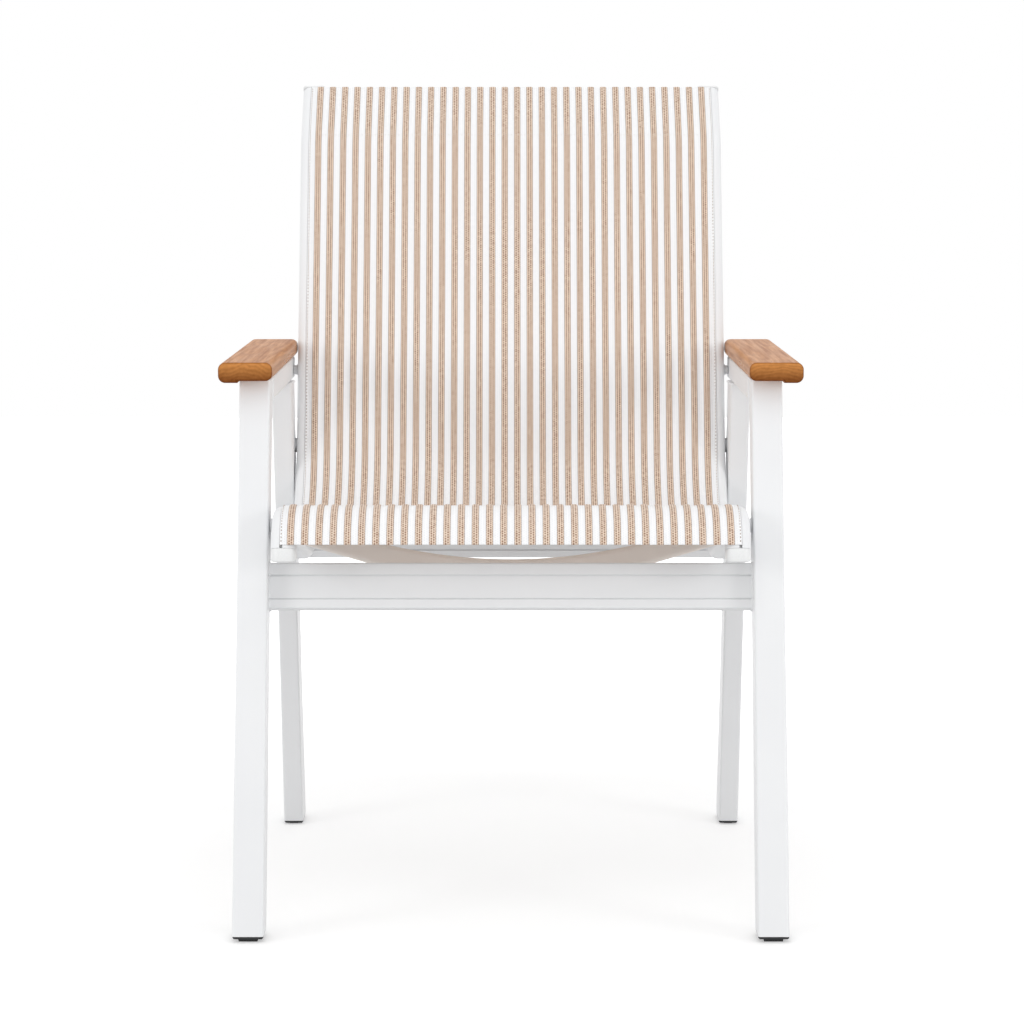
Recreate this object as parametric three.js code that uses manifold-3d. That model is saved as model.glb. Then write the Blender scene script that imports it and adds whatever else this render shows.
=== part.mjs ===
// Sling patio chair. A welded frame of powder-coated aluminium tube carries two S-shaped side rails,
// a striped fabric sling is stretched between the rails, and a teak pad lies on each arm.
// Millimetres, +Z up. The sitter faces -Y, and left and right are the sitter's own.

import * as THREE from "three";
import { mergeVertices } from "three/addons/utils/BufferGeometryUtils.js";
import Module from "manifold-3d";

const wasm = await Module();
wasm.setup();

// Fits
const touch = 0.3; // gap where two pieces meet
const overrun = 3; // how far a cutter runs past what it cuts

// Widths across the chair
const clearWidth = 443; // between the two side rails
const railWidth = 25.5;
const frontStandoff = 5.5; // from the rail to the front leg and the arm tube
const rearStandoff = 2.3; // from the rail to the rear leg

// Legs, cut level at both ends
const tubeWall = 2;
const tubeCorner = 2.5;
const frontLegWidth = 32.2;
const frontLegDepth = 40;
const frontLegLean = THREE.MathUtils.degToRad(15.5); // leans back
const rearLegWidth = 22.6;
const rearLegDepth = 50;
const rearLegLean = THREE.MathUtils.degToRad(15.3); // leans forward
const footSpread = 578.5; // from the front of the front foot to the front of the rear foot

// Arm tubes
const armAboveSeat = 129.2; // from the crest of the seat to the top of the tube, where the pad lies
const armTubeHeight = 25;
const armTubePastRail = 17; // from the upper spacer to the tube's rear end
const plugPlate = 2;
const plugToNut = 2; // from the plug's inner end to the arm bolt's nut

// Aprons, the stretchers between the legs
const apronHeight = 48.4;
const apronDepth = 20;
const apronCorner = 2.5;
const frontApronLevel = 352.5; // middle of the apron above the floor
const rearApronLevel = 354.7;
const apronSetback = 1.5; // from the front leg's back face
const apronTopLip = 13;
const apronBottomLip = 9.4;
const apronGrooveWidth = 1.6;
const apronGrooveDepth = 2;
const apronPanelRecess = 0.5;

// Side rails, seen from the side along the face that carries the sling
const railDepth = 38;
const railWall = 2.5;
const railCorner = 9;
const boreCorner = 4;
const railFront = 60.8; // foremost point of the rail behind the front foot
const railEndHeight = 383.7; // the rail's front end above the floor
const frontBendRadius = 51.8;
const seatSlope = THREE.MathUtils.degToRad(11.4);
const seatLength = 228;
const seatBackRadius = 110;
const recline = THREE.MathUtils.degToRad(18.5);
const backLength = 360.5;
const headBendRadius = 60;
const headRoll = THREE.MathUtils.degToRad(24.5);
const headLength = 73.5;
const grooveInset = 11; // from the rail's outer side to the groove that holds the sling
const slotWidth = 3;
const channelRadius = 4;
const channelDepth = 6.5;
const frontCapLength = 15;
const frontCapRound = 2.4;
const topCapLength = 3;
const topCapCorner = 3; // squarer than the rail
const topCapRound = 1;
const spigotLength = 12;

// Sling
const slingThickness = 1.2;
const slingFrontHem = 3.4; // from the front cap to the sling's edge
const slingTopHem = 1;
const seatSag = 5;
const bendLift = 4; // the sling cuts across the bend between seat and back
const backSag = 3;
const rodRadius = 3.4;

// Spreader bars, which hold the rails apart
const spreaderHeight = 24;
const spreaderThickness = 12;
const spreaderCorner = 5;
const spreaderDepth = 22; // from the sling face to the bar's end
const seatBarDistance = 60; // from the front bend to the seat bar
const seatBarRadius = 575;
const seatBarSplay = THREE.MathUtils.degToRad(16.3);
const lumbarBarDistance = 48; // from the bend between seat and back to the lumbar bar
const lumbarBarRadius = 620;
const lumbarBarSplay = THREE.MathUtils.degToRad(10);
const headBarDrop = 26; // from the head bend down to the head bar
const headBarRadius = 1400;
const headBarSplay = THREE.MathUtils.degToRad(5);

// Armrest pads
const padThickness = 19.3; // above the arm tube
const padLip = 2; // hangs down along the arm tube's outer side
const padWidth = 56.5;
const padInnerOverhang = 4;
const padFrontOverhang = 26;
const padRearOverhang = 4;
const padRound = 7.5; // along the long edges
const padEase = 2.8; // round the two ends

// Foot glides
const frontGlidePad = 3.6; // height of the pad under the flange
const rearGlidePad = 1.4;
const glidePadInset = 5.5;
const glideChamfer = 1;
const glideFlange = 2.4;
const glideFlangeInset = 0.4;
const glideSpigot = 14;

// Spacers and bolts between the rails and the frame
const boltDepth = 18.2; // from the sling face to the bolts
const legSpacerRadius = 8.4;
const armSpacerRadius = 6.2;
const spacerNeck = 0.9; // how far the spacer's narrow end is drawn in
const spacerStepShare = 0.3; // of the spacer's length, from the rail to its step
const boltRadius = 3;
const boltHeadRadius = 5.5;
const boltHeadHeight = 3;
const boltTip = 2;
const nutRadius = 6;
const nutLength = 7;

// Countersunk screws in the ends of the spreader bars
const screwRadius = 2.5;
const screwHeadRadius = 5;
const screwHeadHeight = 2;
const screwGrip = 15; // thread in the spreader bar

// Screws that hold the pads, driven from under the arm tube
const padScrewRadius = 2;
const padScrewHeadRadius = 4.2;
const padScrewHeadHeight = 2.4;
const padScrewGrip = 12; // thread in the pad
const padScrewInset = 62; // from the front leg and from the rear leg

// How finely round things are divided
const cornerSteps = 2;
const railCornerSteps = 3;
const channelSteps = 7;
const rodSides = 8;
const turnedSides = 12;
const bendStep = THREE.MathUtils.degToRad(10);
const slingColumns = 5; // in each half of the sling
const seatRows = 4;
const backRows = 5;
const barSteps = 4; // in each half of a spreader bar's bow
const nutSides = 6;
const halvings = 40; // in the search for where two lines cross
const quarterTurn = Math.PI / 2;

// Places that follow from the sizes above
const railInner = clearWidth / 2;
const railOuter = railInner + railWidth;
const frontLegInner = railOuter + frontStandoff;
const rearLegInner = railOuter + rearStandoff;
const armHeight = railEndHeight + frontBendRadius + armAboveSeat;
const armUnderside = armHeight - armTubeHeight;
const frontReach = frontLegDepth / Math.cos(frontLegLean); // the leg's depth, measured level
const rearReach = rearLegDepth / Math.cos(rearLegLean);
const frontFace = (z) => z * Math.tan(frontLegLean); // y of the front leg's front face
const rearFace = (z) => footSpread - z * Math.tan(rearLegLean);
const slotX = railOuter - grooveInset;
const plugDepth = armTubePastRail - nutRadius - plugToNut;

// Materials
const powderCoat = new THREE.MeshStandardMaterial({ color: 0xeeeff0, roughness: 0.42, metalness: 0 });
const whiteNylon = new THREE.MeshStandardMaterial({ color: 0xf1f1ef, roughness: 0.5, metalness: 0 });
const blackRubber = new THREE.MeshStandardMaterial({ color: 0x2b2b2c, roughness: 0.75, metalness: 0 });
const slingFabric = new THREE.MeshStandardMaterial({ color: 0xe0d2c2, roughness: 0.8, metalness: 0 });
const teak = new THREE.MeshStandardMaterial({ color: 0xc79f78, roughness: 0.6, metalness: 0 });
const stainless = new THREE.MeshStandardMaterial({ color: 0xb8bbbf, roughness: 0.3, metalness: 1 });

// The same geometry with its faces turned outwards, judged by the sign of its volume
function facingOut(geometry) {
  const merged = new THREE.BufferGeometry();
  merged.setAttribute("position", geometry.attributes.position.clone());
  merged.setIndex(geometry.index ? geometry.index.clone() : null);
  const shape = mergeVertices(merged);
  const at = shape.attributes.position;
  const corners = [new THREE.Vector3(), new THREE.Vector3(), new THREE.Vector3()];
  const order = shape.index.array;
  let volume = 0;
  for (let i = 0; i < order.length; i += 3) {
    corners.forEach((corner, k) => corner.fromBufferAttribute(at, order[i + k]));
    volume += corners[0].dot(corners[1].clone().cross(corners[2]));
  }
  if (volume < 0) order.reverse();
  return shape;
}

function mirrored(geometry) {
  return facingOut(geometry.clone().scale(-1, 1, 1));
}

// A geometry as a solid that can be cut and joined, and back
function solid(geometry) {
  const shape = facingOut(geometry);
  return new wasm.Manifold(
    new wasm.Mesh({
      numProp: 3,
      vertProperties: new Float32Array(shape.attributes.position.array),
      triVerts: new Uint32Array(shape.index.array),
    }),
  );
}

function asGeometry(body) {
  const mesh = body.getMesh();
  const geometry = new THREE.BufferGeometry();
  geometry.setAttribute("position", new THREE.BufferAttribute(new Float32Array(mesh.vertProperties), 3));
  geometry.setIndex(new THREE.BufferAttribute(new Uint32Array(mesh.triVerts), 1));
  return geometry;
}

function cut(geometry, cutters) {
  return asGeometry(cutters.reduce((body, cutter) => body.subtract(solid(cutter)), solid(geometry)));
}

function join(first, second) {
  return asGeometry(solid(first).add(solid(second)));
}

// Points of an arc, from one angle to another
function arc(x, y, radius, from, to, steps) {
  return Array.from({ length: steps + 1 }, (_, i) => {
    const angle = from + ((to - from) * i) / steps;
    return new THREE.Vector2(x + radius * Math.cos(angle), y + radius * Math.sin(angle));
  });
}

function circle(x, y, radius, sides) {
  return arc(x, y, radius, 0, 2 * Math.PI, sides).slice(0, sides);
}

// A rectangle with round corners, drawn in by an inset all round
function roundedBox({ left, right, low, high, corner, inset = 0, steps = cornerSteps }) {
  const radius = Math.max(corner - inset, touch);
  const reach = inset + radius;
  return [
    ...arc(left + reach, low + reach, radius, 2 * quarterTurn, 3 * quarterTurn, steps),
    ...arc(right - reach, low + reach, radius, 3 * quarterTurn, 4 * quarterTurn, steps),
    ...arc(right - reach, high - reach, radius, 0, quarterTurn, steps),
    ...arc(left + reach, high - reach, radius, quarterTurn, 2 * quarterTurn, steps),
  ];
}

// A closed solid through a row of like sections, each an outline with holes and a matrix that places it
function sweep(rows) {
  const loops = ({ outline, holes = [] }) => [outline, ...holes];
  const positions = rows.flatMap((row) =>
    loops(row).flat().flatMap((p) => new THREE.Vector3(p.x, p.y, 0).applyMatrix4(row.place).toArray()),
  );
  const rowSize = loops(rows[0]).flat().length;
  const index = [];
  for (let i = 0; i < rows.length - 1; i += 1) {
    let start = i * rowSize;
    for (const loop of loops(rows[0])) {
      for (let k = 0; k < loop.length; k += 1) {
        const a = start + k;
        const b = start + ((k + 1) % loop.length);
        index.push(a, b, b + rowSize, a, b + rowSize, a + rowSize);
      }
      start += loop.length;
    }
  }
  const last = (rows.length - 1) * rowSize;
  const lid = (row) => THREE.ShapeUtils.triangulateShape(row.outline, row.holes ?? []);
  lid(rows[0]).forEach(([a, b, c]) => index.push(c, b, a));
  lid(rows.at(-1)).forEach(([a, b, c]) => index.push(last + a, last + b, last + c));
  const geometry = new THREE.BufferGeometry();
  geometry.setAttribute("position", new THREE.Float32BufferAttribute(positions, 3));
  geometry.setIndex(index);
  return facingOut(geometry);
}

// A matrix that places a section's x, y and middle
function placed(x, y, middle) {
  return new THREE.Matrix4().makeBasis(x, y, new THREE.Vector3()).setPosition(middle);
}

const across = new THREE.Vector3(1, 0, 0);
const rearwards = new THREE.Vector3(0, 1, 0);
const upwards = new THREE.Vector3(0, 0, 1);

// A turned piece from its half profile of [radius, distance along the axis], along +Y
function turned(profile, sides = turnedSides) {
  return facingOut(new THREE.LatheGeometry(profile.map(([r, h]) => new THREE.Vector2(r, h)), sides));
}

// A turned piece laid along +X with its zero at a point
function laidAcross(geometry, x, y, z) {
  return geometry.clone().rotateZ(-quarterTurn).translate(x, y, z);
}

// The model
const chair = new THREE.Group();

function add(name, geometry, material, group = chair) {
  const mesh = new THREE.Mesh(facingOut(geometry), material);
  mesh.name = name;
  group.add(mesh);
  return mesh;
}

// A pair of like pieces, built on the left at +X and mirrored to the right
function addPair(name, geometry, material) {
  add(`${name}_left`, geometry, material);
  add(`${name}_right`, mirrored(geometry), material);
}

// Side line of the rail: runs of an arc or a straight, each a length and the angle that it turns
const railRuns = [
  { length: frontBendRadius * (quarterTurn + seatSlope), turn: -(quarterTurn + seatSlope) },
  { length: seatLength, turn: 0 },
  {
    length: seatBackRadius * (quarterTurn - recline + seatSlope),
    turn: quarterTurn - recline + seatSlope,
  },
  { length: backLength, turn: 0 },
  { length: headBendRadius * headRoll, turn: -headRoll },
  { length: headLength, turn: 0 },
];
const [frontBend, seatStraight, seatBackBend, backStraight, headBend, headStraight] = railRuns;
railRuns.reduce(
  (at, run) => {
    Object.assign(run, at);
    return endOf(run, run.length);
  },
  { start: 0, y: railFront, z: railEndHeight, heading: quarterTurn },
);
const railLength = headStraight.start + headStraight.length;

// Where a run has got to after a distance along it
function endOf(run, distance) {
  const heading = run.heading + (run.turn * distance) / run.length;
  const start = run.start + distance;
  if (run.turn === 0) {
    const y = run.y + distance * Math.cos(heading);
    return { start, heading, y, z: run.z + distance * Math.sin(heading) };
  }
  const radius = run.length / run.turn;
  const y = run.y + radius * (Math.sin(heading) - Math.sin(run.heading));
  return { start, heading, y, z: run.z - radius * (Math.cos(heading) - Math.cos(run.heading)) };
}

// The point of the side line at a distance along it, a depth below the sling face
function railPoint(along, depth = 0) {
  const run = railRuns.findLast((r) => r.start <= along) ?? frontBend;
  const { y, z, heading } = endOf(run, along - run.start);
  return {
    heading,
    at: new THREE.Vector3(0, y + depth * Math.sin(heading), z - depth * Math.cos(heading)),
  };
}

// Places a section whose x lies across the chair and whose y points out of the sling face
function railPlace(along) {
  const { heading, at } = railPoint(along);
  return placed(across, new THREE.Vector3(0, -Math.sin(heading), Math.cos(heading)), at);
}

// Distances along the rail at which its pieces end or the sling turns
const frontSeam = frontCapLength;
const topSeam = railLength - topCapLength;
const slingFront = frontSeam + slingFrontHem;
const slingTop = topSeam - slingTopHem;

// The distances at which everything that follows the rail has a section, so that its pieces nest
const stations = [
  0,
  frontSeam,
  slingFront,
  slingTop,
  topSeam,
  railLength,
  ...railRuns.flatMap((run) => {
    const steps = Math.ceil(Math.abs(run.turn) / bendStep);
    return Array.from({ length: steps }, (_, i) => run.start + (run.length * (i + 1)) / steps);
  }),
  ...railRuns.map((run) => run.start),
];

function stationsBetween(from, to, extra = []) {
  const inside = [...stations, ...extra].filter((s) => s > from + touch && s < to - touch);
  const sorted = [from, ...inside, to].sort((a, b) => a - b);
  return sorted.filter((s, i) => i === 0 || s - sorted[i - 1] > touch);
}

// The distance along the rail at which its line of bolts reaches a given line of the frame
function crossing(pastLine) {
  let [low, high] = [0, railLength];
  for (let i = 0; i < halvings; i += 1) {
    const middle = (low + high) / 2;
    if (pastLine(railPoint(middle, boltDepth).at) > 0) high = middle;
    else low = middle;
  }
  return low;
}

const midLegShare = 0.5;
const rearLegBoltShare = 0.79; // the rail passes the back part of the rear leg
const armBoltShare = 0.4; // of the arm tube's height
const legBoltRun = crossing(({ y, z }) => y - frontFace(z) - midLegShare * frontReach);
const rearBoltRun = crossing(({ y, z }) => y - rearFace(z) - rearLegBoltShare * rearReach);
const armBoltRun = crossing(({ z }) => z - armUnderside - armBoltShare * armTubeHeight);
const bolts = [
  {
    name: "front",
    run: legBoltRun,
    standoff: frontStandoff,
    atRail: legSpacerRadius,
    atFrame: legSpacerRadius - spacerNeck,
  },
  {
    name: "rear",
    run: rearBoltRun,
    standoff: rearStandoff,
    atRail: legSpacerRadius - spacerNeck,
    atFrame: legSpacerRadius,
  },
  {
    name: "arm",
    run: armBoltRun,
    standoff: frontStandoff,
    atRail: armSpacerRadius,
    atFrame: armSpacerRadius - spacerNeck,
  },
].map((bolt) => ({ ...bolt, at: railPoint(bolt.run, boltDepth).at }));
const spreaders = [
  { name: "seat", run: seatStraight.start + seatBarDistance, radius: seatBarRadius, splay: seatBarSplay },
  {
    name: "lumbar",
    run: backStraight.start + lumbarBarDistance,
    radius: lumbarBarRadius,
    splay: lumbarBarSplay,
  },
  { name: "head", run: headBend.start - headBarDrop, radius: headBarRadius, splay: headBarSplay },
].map((bar) => ({ ...bar, at: railPoint(bar.run, spreaderDepth).at }));

// A plain round cutter through anything on a line across the chair
function crossDrill(radius, from, to, { y, z }) {
  return laidAcross(turned([[0, 0], [radius, 0], [radius, to - from], [0, to - from]]), from, y, z);
}

const boltHole = boltRadius + touch;
const armTubeEnd = bolts[2].at.y + armTubePastRail;

// Legs: leaning tubes cut level at the foot and at the top
function legOutline({ left, right, low, high, inset = 0 }) {
  return roundedBox({ left, right, low, high, corner: tubeCorner, inset });
}

function leg(box, face, foot, top) {
  const row = (z) => ({
    outline: legOutline(box),
    holes: [legOutline({ ...box, inset: tubeWall }).reverse()],
    place: placed(across, rearwards, new THREE.Vector3(0, face(z), z)),
  });
  return sweep([row(foot), row(top)]);
}

const frontLegBox = {
  left: frontLegInner,
  right: frontLegInner + frontLegWidth,
  low: 0,
  high: frontReach,
};
const rearLegBox = { left: rearLegInner, right: rearLegInner + rearLegWidth, low: 0, high: rearReach };
const legFoot = (padHeight) => padHeight + glideFlange + touch;

function innerWallHole(inner, at) {
  return crossDrill(boltHole, inner - overrun, inner + tubeWall + overrun, at);
}

addPair(
  "front_leg",
  cut(leg(frontLegBox, frontFace, legFoot(frontGlidePad), armHeight), [
    innerWallHole(frontLegInner, bolts[0].at),
  ]),
  powderCoat,
);
addPair(
  "rear_leg",
  cut(leg(rearLegBox, rearFace, legFoot(rearGlidePad), armUnderside - touch), [
    innerWallHole(rearLegInner, bolts[1].at),
  ]),
  powderCoat,
);

// Foot glides: a low pad and a flange under the leg, and a spigot up inside it
function glide(box, face, padHeight) {
  const row = (z, inset, height) => ({
    outline: legOutline({ ...box, inset }),
    place: placed(across, rearwards, new THREE.Vector3(0, face(height), z)),
  });
  const foot = legFoot(padHeight);
  const flangeTop = padHeight + glideFlange;
  const spigotInset = tubeWall + touch;
  return sweep([
    row(0, glidePadInset + glideChamfer, foot),
    row(padHeight, glidePadInset, foot),
    row(padHeight, glideFlangeInset + glideChamfer, foot),
    row(padHeight + glideChamfer, glideFlangeInset, foot),
    row(flangeTop, glideFlangeInset, foot),
    row(flangeTop, spigotInset, foot),
    row(flangeTop + glideSpigot, spigotInset, foot + glideSpigot),
  ]);
}

addPair("front_foot_glide", glide(frontLegBox, frontFace, frontGlidePad), blackRubber);
addPair("rear_foot_glide", glide(rearLegBox, rearFace, rearGlidePad), blackRubber);

// Arm tubes: from a slanting butt on the front leg's back face to just past the rail
const armBox = {
  left: frontLegInner,
  right: frontLegInner + frontLegWidth,
  low: armUnderside,
  high: armHeight,
};
const armButt = frontReach + touch / Math.cos(frontLegLean);
const armFront = frontFace(armHeight) + armButt;
const rearLegTop = rearFace(armUnderside);
const padScrews = [
  { name: "front", y: armFront + padScrewInset },
  { name: "rear", y: rearLegTop - padScrewInset },
];
const padScrewX = (armBox.left + armBox.right) / 2;

function upDrill(radius, y, from, to) {
  const drill = turned([[0, 0], [radius, 0], [radius, to - from], [0, to - from]]);
  return drill.rotateX(quarterTurn).translate(padScrewX, y, from);
}

function armTube() {
  const section = {
    outline: legOutline(armBox),
    holes: [legOutline({ ...armBox, inset: tubeWall }).reverse()],
  };
  const slant = new THREE.Vector3(0, Math.tan(frontLegLean), 1);
  const tube = sweep([
    { ...section, place: placed(across, slant, new THREE.Vector3(0, armButt, 0)) },
    { ...section, place: placed(across, upwards, new THREE.Vector3(0, armTubeEnd, 0)) },
  ]);
  const screwHoles = padScrews.map(({ y }) =>
    upDrill(padScrewRadius + touch, y, armUnderside - overrun, armHeight + overrun),
  );
  return cut(tube, [innerWallHole(frontLegInner, bolts[2].at), ...screwHoles]);
}

addPair("arm_tube", armTube(), powderCoat);

// Plugs in the rear ends of the arm tubes
function armPlug() {
  const row = (y, inset) => ({
    outline: legOutline({ ...armBox, inset }),
    place: placed(across, upwards, new THREE.Vector3(0, armTubeEnd + y, 0)),
  });
  const spigotInset = tubeWall + touch;
  return sweep([
    row(-plugDepth, spigotInset),
    row(touch, spigotInset),
    row(touch, 0),
    row(plugPlate, 0),
    row(touch + plugPlate, touch),
  ]);
}

addPair("arm_tube_plug", armPlug(), whiteNylon);

// Armrest pads: teak boards with rounded long edges, the outer one with a lip beside the arm tube
function padOutline(inset) {
  const radius = padRound - inset;
  const left = frontLegInner - padInnerOverhang;
  const right = left + padWidth - inset - radius;
  const near = left + inset + radius;
  const lip = frontLegInner + frontLegWidth + touch + inset;
  const low = armHeight + touch + inset;
  const high = armHeight + touch + padThickness - inset - radius;
  return [
    ...arc(near, low + radius, radius, 2 * quarterTurn, 3 * quarterTurn, railCornerSteps),
    new THREE.Vector2(lip, low),
    new THREE.Vector2(lip, low - padLip),
    ...arc(right, low - padLip + radius, radius, 3 * quarterTurn, 4 * quarterTurn, railCornerSteps),
    ...arc(right, high, radius, 0, quarterTurn, railCornerSteps),
    ...arc(near, high, radius, quarterTurn, 2 * quarterTurn, railCornerSteps),
  ];
}

function armPad() {
  const front = frontFace(armHeight) - padFrontOverhang;
  const rear = armTubeEnd + padRearOverhang;
  const row = (y, inset) => ({
    outline: padOutline(inset),
    place: placed(across, upwards, new THREE.Vector3(0, y, 0)),
  });
  const ease = (y, from, to) =>
    arc(0, 0, padEase, from, to, cornerSteps).map((p) => row(y + p.y, padEase - p.x));
  const board = sweep([
    ...ease(front + padEase, -quarterTurn, 0),
    ...ease(rear - padEase, 0, quarterTurn),
  ]);
  const pilotHoles = padScrews.map(({ y }) =>
    upDrill(padScrewRadius + touch, y, armHeight - overrun, armHeight + padScrewGrip + 2 * touch),
  );
  return cut(board, pilotHoles);
}

addPair("armrest_pad", armPad(), teak);

// Screws up through the arm tubes into the pads
const padScrew = turned([
  [0, -touch - padScrewHeadHeight],
  [padScrewHeadRadius / 2, -touch - padScrewHeadHeight],
  [padScrewHeadRadius, -touch - padScrewHeadHeight / 2],
  [padScrewHeadRadius, -touch],
  [padScrewRadius, -touch],
  [padScrewRadius, armTubeHeight + padScrewGrip - padScrewRadius],
  [0, armTubeHeight + padScrewGrip],
]);
for (const [side, sign] of [["left", 1], ["right", -1]]) {
  for (const { name, y } of padScrews) {
    const screw = add(`pad_screw_${name}_${side}`, padScrew, stainless);
    screw.rotation.x = quarterTurn;
    screw.position.set(sign * padScrewX, y, armUnderside);
  }
}

// Aprons: ribbed extrusions welded between the legs, leaning with them
function apronShape() {
  const top = apronHeight / 2;
  const lowGroove = apronBottomLip - top;
  const highGroove = top - apronTopLip - apronGrooveWidth;
  const shape = new THREE.Shape([
    ...arc(apronCorner, top - apronCorner, apronCorner, quarterTurn, 2 * quarterTurn, cornerSteps),
    ...[
      [0, highGroove + apronGrooveWidth],
      [apronGrooveDepth, highGroove + apronGrooveWidth],
      [apronGrooveDepth, highGroove],
      [apronPanelRecess, highGroove],
      [apronPanelRecess, lowGroove + apronGrooveWidth],
      [apronGrooveDepth, lowGroove + apronGrooveWidth],
      [apronGrooveDepth, lowGroove],
      [0, lowGroove],
    ].map(([x, y]) => new THREE.Vector2(x, y)),
    ...arc(apronCorner, apronCorner - top, apronCorner, 2 * quarterTurn, 3 * quarterTurn, cornerSteps),
    ...arc(apronDepth - apronCorner, apronCorner - top, apronCorner, -quarterTurn, 0, cornerSteps),
    ...arc(apronDepth - apronCorner, top - apronCorner, apronCorner, 0, quarterTurn, cornerSteps),
  ]);
  const bore = tubeWall + apronGrooveDepth;
  shape.holes.push(
    new THREE.Path([
      new THREE.Vector2(bore, tubeWall - top),
      new THREE.Vector2(bore, top - tubeWall),
      new THREE.Vector2(apronDepth - tubeWall, top - tubeWall),
      new THREE.Vector2(apronDepth - tubeWall, tubeWall - top),
    ]),
  );
  return shape;
}

// The extrusion runs along X once its own x is turned to the rear and its own y upwards
function addApron(name, length, y, z, lean) {
  const bar = new THREE.ExtrudeGeometry(apronShape(), { depth: length, bevelEnabled: false });
  bar.translate(0, 0, -length / 2);
  bar.applyMatrix4(new THREE.Matrix4().makeBasis(rearwards, upwards, across));
  const mesh = add(name, bar, powderCoat);
  mesh.rotation.x = lean;
  mesh.position.set(0, y, z);
}

const frontApronBack = frontFace(frontApronLevel) + frontReach - apronSetback;
const frontApronY = frontApronBack - apronDepth / Math.cos(frontLegLean);
const rearApronY = rearFace(rearApronLevel) + (rearReach - apronDepth / Math.cos(rearLegLean)) / 2;
addApron("front_apron", 2 * (frontLegInner - touch), frontApronY, frontApronLevel, -frontLegLean);
addApron("rear_apron", 2 * (rearLegInner - touch), rearApronY, rearApronLevel, rearLegLean);

// Side rails: an extrusion with a keyhole groove for the sling and a hollow core
const slotAngle = Math.asin(slotWidth / 2 / channelRadius);

function railOutline() {
  const low = -railDepth + railCorner;
  const [near, far] = [railInner + railCorner, railOuter - railCorner];
  return [
    ...arc(near, low, railCorner, 2 * quarterTurn, 3 * quarterTurn, railCornerSteps),
    ...arc(far, low, railCorner, -quarterTurn, 0, railCornerSteps),
    ...arc(far, -railCorner, railCorner, 0, quarterTurn, railCornerSteps),
    new THREE.Vector2(slotX + slotWidth / 2, 0),
    ...arc(
      slotX,
      -channelDepth,
      channelRadius,
      quarterTurn - slotAngle,
      slotAngle - 3 * quarterTurn,
      channelSteps,
    ),
    new THREE.Vector2(slotX - slotWidth / 2, 0),
    ...arc(near, -railCorner, railCorner, quarterTurn, 2 * quarterTurn, railCornerSteps),
  ];
}

const boreBox = {
  left: railInner + railWall,
  right: railOuter - railWall,
  low: railWall - railDepth,
  high: -channelDepth - channelRadius - railWall,
  corner: boreCorner,
};

// The countersunk screw, along +X from its head to its tip, made fatter by an allowance for its hole
function spreaderScrew(allowance, tip) {
  return turned([
    [0, 0],
    [screwHeadRadius + allowance, 0],
    [screwRadius + allowance, screwHeadHeight + allowance],
    [screwRadius + allowance, tip],
    [0, tip],
  ]);
}

function rail() {
  const outline = railOutline();
  const holes = [roundedBox(boreBox).reverse()];
  const rows = stationsBetween(frontSeam + touch, topSeam - touch);
  const bar = sweep(rows.map((along) => ({ outline, holes, place: railPlace(along) })));
  const boltHoles = bolts.map(({ at }) =>
    crossDrill(boltHole, railInner - overrun, railOuter + overrun, at),
  );
  const screwHole = spreaderScrew(touch, railWidth + overrun).rotateZ(quarterTurn);
  const screwHoles = spreaders.map(({ at }) => screwHole.clone().translate(railOuter, at.y, at.z));
  return cut(bar, [...boltHoles, ...screwHoles]);
}

addPair("sling_rail", rail(), powderCoat);

// End caps: the rail's outline with rounded ends, and a spigot up its core
function capRows(seam, end, round, corner) {
  const box = { left: railInner, right: railOuter, low: -railDepth, high: 0, corner };
  const outwards = Math.sign(end - seam);
  const rounding = [
    { along: end - outwards * round, inset: 0 },
    { along: end - outwards * round * (1 - Math.SQRT1_2), inset: round * (1 - Math.SQRT1_2) },
    { along: end, inset: round },
  ];
  const straight = stationsBetween(Math.min(seam, end), Math.max(seam, end))
    .filter((s) => outwards * (end - outwards * round - s) > touch)
    .map((along) => ({ along, inset: 0 }));
  return [...straight, ...rounding]
    .sort((a, b) => a.along - b.along)
    .map(({ along, inset }) => ({
      outline: roundedBox({ ...box, inset, steps: railCornerSteps }),
      place: railPlace(along),
    }));
}

function endCap(seam, end, round, corner) {
  const outwards = Math.sign(end - seam);
  const ends = [seam + outwards * (touch + round / 2), seam - outwards * spigotLength];
  const spigot = ends.sort((a, b) => a - b);
  const outline = roundedBox({ ...boreBox, inset: touch });
  const core = sweep(stationsBetween(...spigot).map((along) => ({ outline, place: railPlace(along) })));
  return join(sweep(capRows(seam, end, round, corner)), core);
}

addPair("rail_cap_front", endCap(frontSeam, 0, frontCapRound, railCorner), whiteNylon);
addPair("rail_cap_top", endCap(topSeam, railLength, topCapRound, topCapCorner), whiteNylon);

// Sling: a sheet over the rails, its two edges turned down into the grooves
const humpOver = (run, along) => {
  const share = (along - run.start) / run.length;
  return share > 0 && share < 1 ? Math.sin(Math.PI * share) ** 2 : 0;
};
const slingDrop = (along) =>
  seatSag * humpOver(seatStraight, along) -
  bendLift * humpOver(seatBackBend, along) +
  backSag * humpOver(backStraight, along);

function slingOutline(along) {
  const half = slingThickness / 2;
  const fold = slotX - half;
  const edgeDepth = channelDepth - rodRadius - touch;
  const sheet = Array.from({ length: 2 * slingColumns + 1 }, (_, i) => {
    const share = i / slingColumns - 1;
    return new THREE.Vector2(share * fold, touch - slingDrop(along) * (1 - share ** 2));
  });
  const turnedEdge = [
    new THREE.Vector2(fold, -edgeDepth),
    new THREE.Vector2(slotX + half, -edgeDepth),
    new THREE.Vector2(slotX + half, touch + half),
    new THREE.Vector2(slotX, touch + slingThickness),
  ];
  const opposite = turnedEdge.map(({ x, y }) => new THREE.Vector2(-x, y)).reverse();
  const face = sheet.map(({ x, y }) => new THREE.Vector2(x, y + slingThickness)).reverse();
  return [...sheet, ...turnedEdge, ...face, ...opposite];
}

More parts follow.
